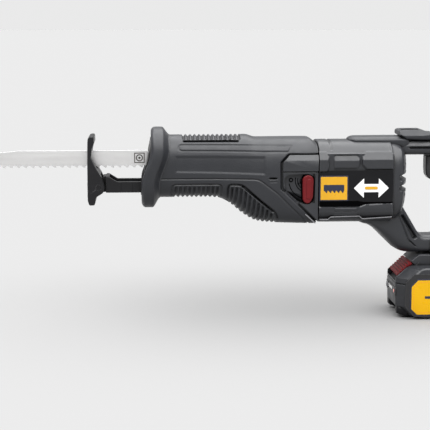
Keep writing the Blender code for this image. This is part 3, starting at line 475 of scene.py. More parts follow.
# ---- Front grip
GRIP_TABLE = (
    (-96, 29.6, 133.6, 200.6, 166, 2.7, 3),
    (-40, 29.8, 133.4, 200.8, 166, 2.7, 3),
    (-28.5, 30.2, 132.4, 200.8, 165.5, 2.7, 3),
    (-19.7, 31, 127.8, 200.8, 164, 2.7, 3),
    (-8.4, 33, 118, 200.8, 161, 2.8, 3),
    (0, 34.6, 111.9, 200.8, 158, 2.9, 3.1),
    (8.3, 36, 107.6, 197.9, 156, 3, 3.2),
    (17, 37, 106.2, 197.8, 154, 3.2, 3.4),
    (30, 37.8, 105.7, 197.8, 152, 3.4, 3.8),
    (50, 38, 105.7, 197.8, 151, 3.6, 5),
    (67.7, 38, 105.7, 197.8, 151, 3.6, 6),
    (73.9, 38, 105.7, 193.4, 150, 3.6, 6),
    (74.7, 36.8, 106.9, 192.2, 150, 3.6, 6),
)
WINDOW = [(42.6, 182.8), (34.2, 173.8), (34.4, 145.4), (55.1, 126), (75.3, 106.2), (80, 106), (80, 182.6)]
PARTING = [(-93, 155.8), (6, 155.6), (11, 154.8), (15, 152.6), (31.7, 139.8), (58, 113.5), (72, 99.5)]
PILL = [(46.5, 191.2), (42.5, 184.8)] + arc(-71, 189, 3.1, 270, 90, 8)
TOP_RIBS = (-71, -8)
LOW_RIBS = (-81.7, -28)
RIB_PITCH = 4.95
FAN = rounded([(-21.6, 98), (-21.6, 149.5), (-6.3, 149.5), (12.3, 132.8), (29, 119.6), (33, 110),
               (33, 98)], 5)


def grip_depth(grid):
    """Ribs, grooves and recesses pressed into the rubber sleeve."""
    x, y, z = parts_of(grid)
    side = ramp(18 - y, 4)
    depth = 0.75 * groove(inside_distance(x, z, PILL), 1.3) * side
    depth += 0.9 * groove(path_distance(x, z, PARTING), 1.1) * side
    recess = inside_distance(x, z, [(-77.3, 179.7), (-77.3, 163.5), (17.2, 161.3), (17.2, 179.2)])
    depth += 0.9 * ramp(recess, 3.2) * side
    deck = ramp(np.maximum(TOP_RIBS[0] - x, x - TOP_RIBS[1]), 1) * ramp(197.2 - z, 1)
    depth += 1.9 * rib_wave(x - TOP_RIBS[0], RIB_PITCH) * deck
    patch = inside_distance(x, z, rounded(box(LOW_RIBS[0], 120, LOW_RIBS[1], 149.5), 5))
    depth += 1.1 * groove(patch, 1.3) * ramp(137 - z, 2)
    depth += 1.7 * rib_wave(x - LOW_RIBS[0] - 2, RIB_PITCH) * ramp(patch + 2.2, 1.6)
    fan = inside_distance(x, z, FAN)
    depth += 1.7 * groove(fan, 1.7) * ramp(112 - z, 1) * ramp(12 - y, 2)
    slanted = x + 21 - (z - 130) * 0.08
    depth += 1.9 * rib_wave(slanted, RIB_PITCH) * ramp(fan + 3.2, 1.2)
    diagonal = path_distance(x, z, [(-6.4, 147.6), (26, 120.6)])
    depth += 2.2 * ramp(diagonal - 0.8, 0.8) * ramp(12 - y, 2)
    for height, sink in ((156.6, 2.2), (153, 0.5)):
        dash = path_distance(x, z, [(22.6, height), (29.8, height)])
        depth += sink * ramp(dash - 0.7, 0.7) * side
    window = inside_distance(x, z, WINDOW)
    depth += 2.4 * ramp(window, 0.9) * side
    swept = np.maximum(inside_distance(x, z, lever_sweep(0.9)), window)
    depth += 2.4 * ramp(swept, 0.9) * side * (grid[..., 1] < 0)
    return depth


def undercut(grid):
    """Level slot let in from both sides under the top ribs."""
    grid = grid.copy()
    x, y, z = grid[..., 0], grid[..., 1], grid[..., 2]
    slot = path_distance(x, z, [(TOP_RIBS[0] + 2.6, 195.3), (TOP_RIBS[1] - 3, 195.3)])
    grid[..., 1] = y - np.sign(y) * 4.5 * ramp(slot - 0.9, 0.8) * ramp(10 - np.abs(y), 2)
    return grid


BORE = arc(0, PLUNGER_Z, 15.6, 0, 360, 40)[:-1]
ARM_WAY = box(-16.2, 138.9, 16.2, 154)


def make_grip():
    """Ribbed rubber sleeve, open in front for the plunger and the arm."""
    grid = tube(GRIP_TABLE, 0.8, 400)
    sleeve = skin("grip_sleeve", undercut(press(grid, grip_depth(grid))), RUBBER)
    cut(sleeve, cutter(BORE, (-110, -69.2), "YZ"), cutter(ARM_WAY, (-110, -34), "YZ"))
    add(sleeve, "front_grip")


PANEL_REAR = 74.6
BELT = [(43.9, 181.6), (36.7, 173.4), (36.7, 164.3), (PANEL_REAR, 164.3), (PANEL_REAR, 181.6)]
LOWER_PANEL = [(36.7, 163.4), (36.9, 146.9), (56.2, 128.2), (PANEL_REAR, 109.8), (PANEL_REAR, 163.4)]
LEVER = (63.6, 154.3)
LEVER_ARM = 19.3
LEVER_SLOT = box(68.4, 130.2, 71.3, 161.8)
INDEX = (45.6, 154.6)
POCKET_Y = -33.2               # floor of the selector's pocket


def lever_sweep(margin):
    """Outline of the quarter turn that the lever sweeps, down to forward."""
    x, z = LEVER
    tip, hub = 5.5 + margin, 6 + margin
    outline = arc(x - LEVER_ARM, z, tip, 80, 180, 8) + arc(x, z, LEVER_ARM + tip, 186, 264, 14)
    return outline + arc(x, z - LEVER_ARM, tip, 270, 370, 8) + arc(x, z, hub, -5, 95, 8)


def make_side_panels():
    """Hard panels in the sleeve's windows with a strip of painted highlight on each, and on the left the
    selector's pocket, its marks and a painted shadow round the lever.
    """
    for word, side in SIDES:
        left = side < 0
        belt = plate(f"gear_belt_{word}", [rounded(BELT, 1)], (side * 30, side * 38.7), 0.5, SHELL)
        bevel = [(38.9, 175.6), (34.9, 182.4), (34.9, 190), (50, 190), (50, 175.6)]
        cut(belt, cutter([(side * y, z) for y, z in bevel], (30, 80), "YZ"))
        add(belt, *["gear_case_upper"] * left)
        low = plate(f"gear_panel_{word}", [rounded(LOWER_PANEL, 1.4)], (side * 30, side * 37.7), 0.7, SHELL)
        if left:
            cut(low, cutter(lever_sweep(0.9), (POCKET_Y, -45)), cutter(LEVER_SLOT, (POCKET_Y, -45)))
        add(low, *["gear_case_lower"] * left)
        # Painted highlight: a pale strip on the lower slanted edge of each panel, where it catches the
        # light.
        edge = [(60.6, 117.6), (71.2, 107.8), (72.2, 108.4), (61.6, 118.2)]
        piece = plate(f"panel_edge_painted_highlight_{word}", [edge], (side * 30, side * 37.9), 0.3, PALE_GREY_AND_HIGHLIGHT)
        add(piece, slot="shell_grey")
    x, z = LEVER
    marks = {"selector_index": (-33.45, arc(*INDEX, 2.4, 0, 345, 23), arc(*INDEX, 1.3, 345, 0, 23))}
    for i, (radius, start) in enumerate(((8.2, 168), (10.8, 168), (13.4, 168), (20.2, 190))):
        track = arc(x, z, radius + 0.45, start, 262, 14) + arc(x, z, radius - 0.45, 262, start, 14)
        marks[f"selector_track_{i + 1}"] = (-33.35, track)
    # Painted shadow: a near-black halo on the pocket floor round the lever at rest.
    marks["selector_seat"] = (-33.3, arc(x, z, 7.4, 0, 180, 12) + arc(x, z - LEVER_ARM, 6.9, 180, 360, 12))
    for name, (top, *outlines) in marks.items():
        add(plate(name, outlines, (-33, top), 0.05, NEAR_BLACK_MARK_AND_SHADE))


def make_lever():
    """Red selector lever with a raised spine."""
    x, z = LEVER
    foot = [(x + 1.6, z - 24.2), (x + 3.4, z - 22), (x + 5.4, z - 17.6)]
    outline = arc(x, z, 6, 0, 180, 12) + arc(x, z - LEVER_ARM, 5.5, 180, 272, 8) + foot
    paddle = plate("selector_paddle", [outline], (-33.6, -38.2), 1.4, RED, steps=5)
    add(paddle, "selector_lever", body="selector")
    spine = arc(x + 0.9, z - 1, 2.8, 0, 180, 8) + arc(x + 0.5, z - LEVER_ARM + 1.6, 2.4, 180, 360, 8)
    add(plate("selector_spine", [spine], (-37, -38.7), 0.7, RED), body="selector")


def make_nose():
    """Plate inside the boot with the ways that the plunger and the arm leave through."""
    outlines = [rounded(box(-23, 136.8, 23, 193.5), 8), BORE, rounded(ARM_WAY, 1)]
    add(plate("nose_plate", outlines, (-95.5, -88), 0.6, FINISHES["cast_aluminium"], "YZ"))


# ---- Boot
def boot_sweep(z):
    """Forward shift of the boot's lower half."""
    t = np.clip((188 - z) / 40, 0, 1)
    return -10.5 * t * t * (3 - 2 * t)


def make_boot():
    """Flared rubber boot: a thick rim with a groove behind it and a dished front."""
    profile = [
        (-83.6, 0), (-85, 0.02), (-89.6, 0.8), (-91, 0.98), (-93, 1), (-100.8, 1),
        (-103.2, 0.72), (-103.9, 0.42), (-103.7, -0.05), (-102.6, -0.22), (-99, -0.3), (-97.6, -0.3),
        (-97.6, -0.02), (-84.5, -0.02),
    ]
    x, level = np.array(rounded(profile, 1.2, 3)).T
    count = 160
    root_y, root_z = section(30.1, 133.1, 201.2, 167, 2.9, 3.2, count)
    rim_y, rim_z = section(38, 122.9, 209.1, 166.4, 3, 3.2, count)
    rings = []
    for i in range(count):
        y = root_y[i] + (rim_y[i] - root_y[i]) * level
        z = root_z[i] + (rim_z[i] - root_z[i]) * level
        rings.append((x + boot_sweep(z), y, z))
    add(skin("rubber_boot", ring_grid(rings), RUBBER, sharp=45, closed=True), "front_boot")


# ---- Motor housing
BARREL_TABLE = (
    (75.7, 37.4, 108, 193.4, 150, 2.9, 4.8),
    (76.5, 38.6, 106.6, 194.8, 150, 2.9, 4.8),
    (155.2, 38.6, 106.6, 194.8, 150, 2.9, 4.8),
    (156, 37.4, 108, 193.4, 150, 2.9, 4.8),
)
HALF_LIMIT = 38.8              # half the widest that the belts may be
LEFT_BLOCK = [(70, 184.6), (83.4, 184.6), (86.6, 180), (85.4, 176), (86, 169), (84, 163.9), (70, 163.9)]
RIGHT_BLOCK = [(126, 184.6), (155, 184.6), (155, 166.2), (126.5, 166.2), (121.6, 171), (121.6, 179.6)]
INNER_BLOCK = [(91.5, 181.2), (117, 181.2), (119, 178), (119, 171.5), (116.5, 167.4), (91.5, 167.4)]
LOW_BLOCK = [(70, 125.6), (119, 125.6), (126, 128.2), (155, 129.2), (155, 112.6), (119, 112.6),
             (116, 118.4), (93, 118.4), (90, 112.6), (70, 112.6)]


def barrel_sides(grid):
    """Belts and recesses on both sides of the motor housing."""
    x, y, z = grid[..., 0], grid[..., 1], grid[..., 2]
    side = np.abs(y)

    def face(outline, level, soft=0.9):
        nonlocal side
        share = ramp(inside_distance(x, z, outline), soft) * ramp(20 - np.abs(y), 4)
        side = side * (1 - share) + np.minimum(level, HALF_LIMIT) * share

    chamfer = np.maximum(z - 176.2, 0) * 0.55
    inner_chamfer = np.maximum(z - 175.2, 0) * 0.5
    tuck = np.maximum(124 - z, 0) * 0.22 + np.maximum(119.6 - z, 0) * 0.4
    face(box(70, 183, 160, 118), 36.4 + 0 * z)
    face(LEFT_BLOCK, 38.7 - chamfer)
    face(RIGHT_BLOCK, 38.7 - chamfer)
    face(INNER_BLOCK, 37.9 - inner_chamfer)
    face(LOW_BLOCK, 38.3 - tuck)
    grid = grid.copy()
    grid[..., 1] = np.sign(y) * side
    return grid


def barrel_depth(grid):
    """Grooves of the motor housing: a recessed pill in the lower belt and a notch on top."""
    x, y, z = parts_of(grid)
    lower = rounded([(91, 124.6), (118, 124.6), (117, 120.4), (92, 120.4)], 1.5)
    depth = 0.6 * groove(inside_distance(x, z, lower), 1) * ramp(25 - y, 4)
    notch = np.maximum(np.abs(x - 89.5) - 1.2, 186 - z)
    depth += ramp(notch, 0.9)
    rear_line = path_distance(x, z, [(152.5, 191.3), (152.5, 186)])
    return depth + 0.5 * ramp(rear_line - 0.5, 0.7)


def make_barrel():
    """Motor housing, its dark inlay, a strip of painted shade in the channel below it and a strip of painted
    highlight along the lower lip of the belt.
    """
    grid = barrel_sides(tube(BARREL_TABLE, 0.8, 348, soft=0.4))
    add(skin("motor_barrel", press(grid, barrel_depth(grid)), SHELL), "motor_housing")
    inlay = rounded([(76.2, 163.2), (84, 163.2), (85, 165.4), (155.4, 165.4), (155.4, 129.9), (126, 129),
                     (119, 126.2), (76.2, 126.2)], 0.8)
    side_plates("label_inlay", [inlay], 34, 37.3, 0.5, INLAY_BLACK)
    # Painted shade: a near-black strip where the channel under the inlay lies in shade.
    channel = [(76.2, 126.4), (76.2, 132), (117, 132), (124, 130.9), (155.4, 130.7), (155.4, 129.5),
               (126, 129), (119, 126.4)]
    side_plates("label_channel_painted_shade", [channel], 36.8, 37.4, 0.04, NEAR_BLACK_MARK_AND_SHADE)
    # Painted highlight: a pale strip along the lower edge of the belt, where a ledge catches the light.
    upper = [(76.4, 112.3), (85.4, 112.3), (88.6, 115), (119.6, 115.8), (122.9, 112.7), (154.8, 114.6)]
    lip = upper + [(x, z - 0.9) for x, z in reversed(upper)]
    side_plates("belt_lip_painted_highlight", [lip], 30, 36.4, 0.2, PALE_GREY_AND_HIGHLIGHT)


ARROW_Z = 145.8


def make_marks():
    """Plain label with a row of saw teeth, and a double arrow for the blade's stroke."""
    edge = rounded(box(75.9, 159.4, 106.9, 132.2), 0.8)
    card = rounded(box(77.1, 158.2, 105.7, 133.4), 0.5)
    side_plates("label_border", [edge], 37.1, 37.65, 0.1, LABEL_NAVY)
    side_plates("label_card", [card], 37.3, 37.85, 0.08, LABEL_YELLOW)
    teeth = [(80.4, 149.6), (102.4, 149.6), (102.4, 143.8)]
    for i in range(5):
        x = 102.4 - 4.4 * i
        teeth += [(x - 1.2, 140.6), (x - 4.4, 143.8)]
    side_plates("label_saw", [teeth[:-1] + [(80.4, 143.8)]], 37.5, 37.95, 0.04, LABEL_NAVY)
    upper = [(112.8, 0), (123.8, 10.6), (123.8, 4.4), (139.7, 4.4), (139.7, 10.6), (150.7, 0)]
    arrow = [(x, ARROW_Z + rise) for x, rise in upper] + [(x, ARROW_Z - rise) for x, rise in upper[-2:0:-1]]
    side_plates("stroke_arrow", [rounded(arrow, 0.8)], 37.1, 37.6, 0.08, LABEL_WHITE)
    bar = rounded(box(124.8, 144.2, 138.7, 147.4), 1.4)
    side_plates("stroke_bar", [bar], 37.3, 37.75, 0.06, LABEL_YELLOW)


# ---- Handle
CAP_TABLE = (
    (156.4, 36, 107.6, 192.4, 150, 3.1, 3.4),
    (157.2, 36.8, 107, 193, 150, 3.1, 3.4),
    (162.5, 36.6, 108.4, 192, 150, 3.1, 3.4),
    (166.6, 34.6, 112.6, 190, 151, 3.4, 3.4),
    (170, 28, 118, 187, 152, 3.2, 3.4),
    (172.6, 20, 122.6, 184, 153, 3, 3.2),
    (174.4, 12, 126, 180.4, 153, 3, 3),
    (175.2, 7, 129, 177, 153, 3, 3),
)
ARM_TABLE = (
    (121, 27, 107, 114, 110, 3.5, 3),
    (124.6, 29, 104.7, 118, 110, 3.5, 3),
    (131.6, 29.5, 103, 120, 110, 3.5, 3),
    (138.7, 29, 98.6, 121, 108, 3.5, 3),
    (146, 27.5, 91.4, 122, 106, 3.6, 3),
    (154.1, 25, 83.4, 124, 104, 3.8, 3),
    (161.2, 22.8, 76.4, 124.5, 100, 4, 3),
    (169.3, 20.5, 71.7, 126, 96, 4.2, 3.4),
    (177.5, 18.8, 70, 112.8, 88, 4.2, 3.4),
    (189.6, 17.4, 70, 92.2, 80, 4.2, 3.4),
    (194, 17, 70, 89.3, 79.6, 4, 3.6),
    (206, 17, 70, 89.3, 79.6, 4, 3.6),
)
FOOT_TABLE = (
    (202, 17, 70, 88.8, 79, 4, 4),
    (210, 28, 59.4, 89.2, 74, 3.2, 6),
    (216, 31, 58.6, 89.6, 74, 3, 7),
    (276, 31, 58.6, 90.4, 74, 3, 7),
    (284.2, 29.4, 60, 87, 74, 3, 5),
    (285.4, 27, 62.6, 83, 73, 3, 4),
)
BAR_TABLE = (
    (157, 15.8, 178.2, 195, 187, 4, 4),
    (236, 15.8, 178.2, 195.2, 187, 4, 4),
    (240, 15.8, 178.6, 194, 187, 4, 4),
)


def make_rear_cap():
    """Rear cap of the motor with two air slots and four fine lines that run round its back."""
    grid = tube(CAP_TABLE, 0.7, 300, soft=1.2)
    x, _, z = parts_of(grid)
    depth = np.zeros(grid.shape[:2])
    for height in (156.2, 145.1):
        depth += 5.5 * np.clip(1.2 - np.abs(z - height) / 3, 0, 1) * ramp(163.5 - x, 3)
    for height in (170, 162.6, 137, 129.6):
        depth += ramp(np.abs(z - height) - 0.6, 1) * ramp(169 - x, 2)
    add(skin("rear_cap", press(grid, depth), SHELL), "handle_left", "handle_right")


def counterbore(x, z):
    """Block that bares the head of a case screw on the right side."""
    return cutter(arc(x, z, 3.9, 0, 345, 23), (15, 40))


def make_arm_and_foot():
    """Strut that drops from the motor to the foot, and the foot that holds the battery's rails."""
    grid = tube(ARM_TABLE, 0.9, 220, soft=2.5)
    x, y, z = parts_of(grid)
    slot = rounded([(168.2, 113), (172.6, 113), (187, 88.6), (183, 86.4)], 1.5)
    depth = 4.8 * ramp(inside_distance(x, z, slot), 0.8) * ramp(8 - y, 2)
    crease = path_distance(x, z, [(164, 118), (166.8, 111.8), (177.9, 85.3), (186, 78)])
    depth += 1.3 * ramp(crease - 0.6, 1.1) * ramp(10 - y, 3)
    strut = skin("handle_strut", press(grid, depth), SHELL)
    add(cut(strut, counterbore(163, 94), counterbore(203, 80)))

    foot = skin("battery_foot", tube(FOOT_TABLE, 1.4, 160, soft=1.2), SHELL)
    way = rounded(mirrored([(18.4, 50), (18.4, 61.6), (21.4, 61.6), (21.4, 69.7)]), 0.2, 1)
    add(cut(foot, cutter(way, (195, 281), "YZ")))


GRIP_STATIONS = (
    # z, front x, rear x, half width
    (84, 234, 283, 16),
    (92, 233, 278.6, 16),
    (101, 231.2, 273.6, 16.4),
    (112, 228, 269.8, 16.8),
    (125, 224.4, 267.2, 17),
    (141, 220.8, 264.8, 17),
    (152, 218.9, 262.4, 16.9),
    (165, 217.2, 259.6, 16.5),
    (174, 215.6, 256.2, 16.2),
    (182, 214.5, 251.6, 16),
    (188, 216, 246, 15.6),
    (193, 219, 240, 14.6),
    (195.2, 223, 235, 12.5),
)


def bevel_above(grid, level, half, slope):
    """Slants both sides inwards above a level."""
    grid = grid.copy()
    reach = half - slope * np.maximum(grid[..., 2] - level, 0)
    grid[..., 1] = np.clip(grid[..., 1], -reach, reach)
    return grid


def make_rear_grip():
    """Rear grip of the D-handle, an oval that leans back towards the foot, and the bar above it."""
    count, spacing = 150, 0.9
    heights = np.arange(GRIP_STATIONS[0][0], GRIP_STATIONS[-1][0], spacing)
    rings = []
    for z in heights:
        front, rear, half = (eased(z, GRIP_STATIONS, column, 2.5) for column in (1, 2, 3))
        along, across = section((rear - front) / 2, -half, half, 0, 2.5, 2.5, count)
        rings.append(((front + rear) / 2 + along, across, z))
    grid = ring_grid(rings)
    x, y, z = parts_of(grid)
    middle = eased(z, GRIP_STATIONS, 1, 2.5) * 0.5 + eased(z, GRIP_STATIONS, 2, 2.5) * 0.5
    window = np.maximum(np.abs(z - 134) - 32, np.abs(x - middle) - 13)
    depth = 0.6 * groove(window, 1.3) * ramp(9 - y, 3)
    depth += rib_wave(z + (x - middle) * 0.35, 4.6) * ramp(window + 2.4, 1.6) * ramp(9 - y, 3)
    fingers = ramp(x - middle + 14, 4) * ramp(np.abs(z - 122) - 24, 6)
    depth += 0.8 * (0.5 - 0.5 * np.cos((z - 146) * 2 * math.pi / 22)) * fingers
    grip = skin("rear_grip", press(grid, depth), RUBBER)
    trigger_way = cutter(box(200, 149.4, 230, 178.4), (-8.6, 8.6))
    add(cut(grip, trigger_way, counterbore(252, 118)))

    grid = tube(BAR_TABLE, 1, 150, soft=1)
    x, y, z = parts_of(grid)
    slot = ramp(np.abs(z - 186.6) - 0.8, 0.7) * ramp(np.maximum(177 - x, x - 232), 1.2)
    depth = 2.4 * slot * ramp(8 - y, 2)
    grid = bevel_above(press(grid, depth), 188.6, 15.8, 0.6)
    add(skin("handle_bar", grid, SHELL))


def make_pads():
    """Rubber tongue and hump over the bar, and the pad down the back of the grip."""
    tongue = (
        (111, 7, 192.6, 195.6, 194.4, 2.4, 2.4),
        (112.6, 12, 190.4, 197.4, 194.2, 2.6, 3.4),
        (117, 16.6, 187.6, 198.6, 193.6, 3, 5),
        (157, 17.4, 186.6, 198.8, 193, 3.2, 5),
        (172, 16.5, 184.5, 198.6, 193, 3.2, 3.6),
        (176, 15, 186, 197, 193, 3, 3.6),
    )
    add(skin("top_tongue", tube(tongue, 0.9, 130, soft=1.4), RUBBER), "top_pad")
    hump = (
        (166.4, 15.8, 200, 204, 201.6, 9, 4),
        (168, 17.2, 198.8, 205.6, 201, 10, 4),
        (173, 17.4, 195, 205.8, 200, 9, 5),
        (191, 17.4, 194.4, 205.8, 199, 9, 5),
        (199, 17, 194.2, 202.8, 198, 7, 4),
        (226, 16.6, 193.4, 199.6, 196.6, 4, 3.6),
        (241, 14, 192, 196.4, 194, 3, 3.6),
        (244, 10, 192, 194, 193, 3, 3.6),
    )
    grid = tube(hump, 0.8, 170, soft=1.2)
    x, y, z = grid[..., 0], grid[..., 1], grid[..., 2]
    top = ramp(199 - z, 2)
    oval = rounded(box(169.5, -9, 190, 9), 3)
    depth = 2.8 * ramp(inside_distance(x, y, oval), 1.4) * top
    ribbed = ramp(np.maximum(196 - x, x - 232), 1) * ramp(np.abs(y) - 11, 1.2)
    depth += 1.3 * rib_wave(x, RIB_PITCH) * ribbed * top
    add(skin("thumb_rest", bevel_above(press(grid, depth), 199.6, 17.4, 0.62), RUBBER))
    # Near-black sheet filling the thumb rest's recess to just under its rim.
    inlay = rounded(box(170, -8.6, 189.5, 8.6), 2.6)
    add(plate("thumb_recess_fill", [inlay], (202, 205), 0.2, NEAR_BLACK_MARK_AND_SHADE, "XY"))

    spine = [(z, rear + 0.6) for z, _, rear, _ in GRIP_STATIONS[1:-2]]
    rings = []
    for z in np.arange(93, 190, 0.9):
        rear = eased(z, spine, 1, 2.5)
        taper = min(1, (z - 91) / 9, (191.5 - z) / 9)
        half = 12.8 * math.sqrt(max(taper, 0.05))
        along, across = section(5.2, -half, half, 0, 2.2, 2.2, 90)
        rings.append((rear - 3.2 + along, across, z))
    grid = ring_grid(rings)
    x, y, z = parts_of(grid)
    wave = rib_wave(z, 5.4) * ramp(np.maximum(y - 8, np.abs(z - 141) - 40), 1.4)
    depth = 0.9 * wave * ramp(eased(z, spine, 1, 2.5) - x, 2)
    add(skin("grip_back_pad", press(grid, depth), RUBBER), "grip_pad")


def make_trigger():
    """Trigger with the seat of its spring, and the lock-off button above it."""
    outline = [(197.2, 177), (197.2, 163), (198, 155.6), (201.4, 151.2), (206, 150.4), (214.2, 152.4),
               (214.2, 160.2), (221.6, 160.2), (221.6, 173.8), (214.2, 173.8), (214.2, 177)]
    trigger = plate("trigger_blade", [rounded(outline, 1.6)], (-7.8, 7.8), 2.2, BLACK, steps=5)
    cut(trigger, cutter(box(214.5, 162.2, 230, 171.8), (-4.8, 4.8)))
    add(trigger, "trigger", body="trigger")
    profile = ((-20, 3.4), (-19.3, 4.6), (-18.4, 5), (18.4, 5), (19.3, 4.6), (20, 3.4))
    rings = []
    for y, radius in profile:
        x, z = np.array(arc(232, 186, radius, 0, 360, 32)[:-1]).T
        rings.append((x, y, z))
    add(skin("lock_button", ring_grid(rings), RED, sharp=40), "lock_off_button", body="lock_button")


# ---- Shoe, arm and blade
SHOE_PIVOT = (-160.2, 145.9)


def make_shoe():
    """Curved steel shoe with its blade slot and pivot lugs."""
    outline = [
        (-171.2, 198.4), (-169.4, 200.8), (-164.9, 200.8), (-164.4, 194.4), (-166.6, 188.4),
        (-167.7, 182.6), (-168, 177.6), (-166.4, 174), (-164.4, 169.4), (-157.3, 157.6),
        (-154.6, 150.5), (-153.7, 145), (-155.5, 140), (-163.2, 135.2), (-163.9, 129.3), (-165, 126.6),
        (-170.4, 126.6), (-172, 131), (-172.2, 136.3), (-172, 170.9), (-171.6, 192.5),
    ]
    shoe = plate("shoe_plate", [rounded(outline, 1.2, 4)], (-20, 20), 1, BLACK_STEEL)
    slot = cutter(rounded(box(-6.5, 163, 6.5, 193.6), 3), (-190, -150), "YZ")
    fork = cutter(arc(*SHOE_PIVOT, 8.3, 0, 350, 35), (-9.9, 9.9))
    gap = cutter(box(-159.8, 130, -140, 159.2), (-9.9, 9.9))
    bore = cutter(arc(*SHOE_PIVOT, 3.2, 0, 350, 35), (-30, 30))
    cut(shoe, slot, fork, gap, bore)
    add(shoe, "shoe", body="shoe")


def make_arm():
    """Sliding arm: two rails on a floor, open on top, and the tongue that the shoe hinges on."""
    rail = rounded([(-152.6, 139.8), (-62.2, 139.8), (-62.2, 151.8), (-140.6, 151.8), (-149.6, 157.4),
                    (-152.6, 157.4)], 1)
    floor = box(-150.6, 140.1, -62.2, 142.8)
    root = [(-149, 139.9), (-149, 157.4), (-155.4, 157), (-157.2, 153.6)]
    tongue = arc(*SHOE_PIVOT, 6.1, 84, 270, 22) + root
    bore = arc(*SHOE_PIVOT, 3.2, 360, 10, 24)
    parts = [plate("part", lines, span, edge, BLACK_STEEL, plane) for lines, span, edge, plane in (
        ([rail], (-15.5, -12.6), 0.5, "XZ"),
        ([rail], (12.6, 15.5), 0.5, "XZ"),
        ([floor], (-14, 14), 0.3, "XZ"),
        ([tongue, bore], (-9.4, 9.4), 0.5, "XZ"),
        ([box(-12.8, 139.9, 12.8, 155)], (-152.2, -148.6), 0.3, "YZ"),
    )]
    add(merge("shoe_rail", parts), "shoe_arm", body="arm")
    for i, x in enumerate((-136.2, -124, -112)):
        notch = box(x - 0.4, 140.6, x + 0.4, 151)
        for word, side in SIDES:
            name = f"arm_notch_{i + 1}_{word}"
            mark = plate(name, [notch], (side * 15.2, side * 15.56), 0.1, INLAY_BLACK)
            add(mark, body="arm", slot="black_steel")


def blade_outline():
    """Hook teeth along the lower edge, their points towards the tool."""
    pitch, root, depth = 7.8, 167.6, 2.3
    start = -112.4
    outline = [(-110, root), (start, root)]
    for i in range(21):
        x = start - i * pitch
        outline += [(x - 0.7, root - depth), (x - 2, root - depth * 0.92)]
        outline += [(x - 4.2, root - 0.35), (x - 5.8, root + 0.15), (x - pitch, root)]
    outline += [(-283, 169.5), (-287.9, 175.5), (-286, 177.6), (-270.5, 181.8), (-246.3, 184), (-108, 184)]
    return outline + [(-105, 180.5), (-91, 180.5), (-91, 168.5), (-108, 168.5)]


def make_blade():
    hole = arc(-96, PLUNGER_Z, 2.3, 360, 10, 24)
    steel = FINISHES["blade_steel"]
    blade = plate("hook_tooth_blade", [blade_outline(), hole], (-0.65, 0.65), 0.12, steel, steps=1)
    add(blade, "saw_blade", body="plunger_and_blade")
    frame_lines = [box(-122, 170.2, -110.6, 181.4), box(-121, 171.2, -111.6, 180.4)]
    x, z = -116.3, 175.8
    ring = [arc(x, z, 3.9, 0, 350, 30), arc(x, z, 2.7, 350, 0, 30)]
    marks = [frame_lines, ring, [arc(x, z, 1.3, 0, 340, 17)]]
    body, slot = "plunger_and_blade", "blade_steel"
    side_marks("blade_mark", marks, 0.6, 0.69, 0.01, ETCH_BROWN, body, slot, steps=1)


# ---- Battery
def battery_plan(front, rear, half, nose, tail, count):
    """Evenly spaced points round the battery's plan: chamfered corners, slightly rounded."""
    left = [(front, -half + nose), (front + nose, -half), (rear - tail, -half), (rear, -half + tail)]
    outline = rounded(left + [(x, -y) for x, y in reversed(left)], 2.6, 6)
    return evenly(*np.array(outline + outline[:1]).T, count)


BATTERY_REAR = 288
BATTERY_HALF = 38
GAUGE_HOLE = arc(14, 29, 3.8, 0, 345, 23)
OCTAGON = [(167.7, 22.5), (167.2, 42.8), (180, 54.4), (262, 54.4), (274, 43), (274, 13),
           (263, 2.1), (180.7, 2.1), (170.5, 12.4)]


def battery_shell(name, levels, node):
    """A case skinned upwards through levels (z, front x, inset); its sides hold an octagonal groove."""
    keys, fronts, insets = zip(*levels)
    rings = []
    for z in np.arange(keys[0], keys[-1] + 0.01, 0.8):
        inset = np.interp(z, keys, insets)
        front = np.interp(z, keys, fronts)
        size = (front + inset, BATTERY_REAR - inset, BATTERY_HALF - inset)
        rings.append((*battery_plan(*size, 14, 8, 560), z))
    grid = ring_grid(rings)
    x, y, z = parts_of(grid)
    side = ramp(34 - y, 2) * ramp(166 - x, 2)
    depth = 1.5 * groove(inside_distance(x, z, OCTAGON), 1.7) * side * ramp(z - 53.2, 1.6)
    for height in (12, 17, 22):
        depth += 0.9 * ramp(np.abs(z - height) - 0.7, 0.8) * ramp(286 - x, 1.2) * ramp(y - 24, 2)
    return add(skin(name, press(grid, depth), SHELL), node, body="battery")


def make_battery():
    """Case in two halves, with the rail and the ramp that the latch leans against."""
    lower = [(0.4, 176.6, 2.6), (1.2, 175.6, 1), (3.6, 172.6, 0.4), (13, 163.9, 0), (33.6, 163.2, 0),
             (37.4, 163.2, 0), (38.2, 163.2, 0.7)]
    cut(battery_shell("battery_tray", lower, "battery_case_lower"), cutter(GAUGE_HOLE, (150, 168), "YZ"))
    upper = [(38.2, 163.2, 0.7), (39, 163.2, 0), (44.6, 163.6, 0), (55, 174.6, 0.6), (57, 177, 1.6),
             (58, 178.6, 3.4)]
    way = cutter(latch_box(-5, -30, 30, 9.5), (-21.9, 21.9))
    cut(battery_shell("battery_cover", upper, "battery_case_upper"), way)
    rail = rounded(mirrored([(17.9, 56), (17.9, 61.9), (20.9, 61.9), (20.9, 69.3)]), 0.6, 3)
    slots = [box(y - 1, 62.8, y + 1, 68.2) for y in (-12, -4, 4, 12)]
    add(plate("battery_rail", [rail] + slots, (206, 262), 0.5, SHELL, "YZ"), body="battery")
    ramp_side = [latch_point(21.8, 9.2), latch_point(21.8, 0.3), (189.6, 69.1), (207.5, 69.1), (207.5, 55)]
    add(plate("battery_ramp", [rounded(ramp_side, 1)], (-20.9, 20.9), 1, SHELL), body="battery")


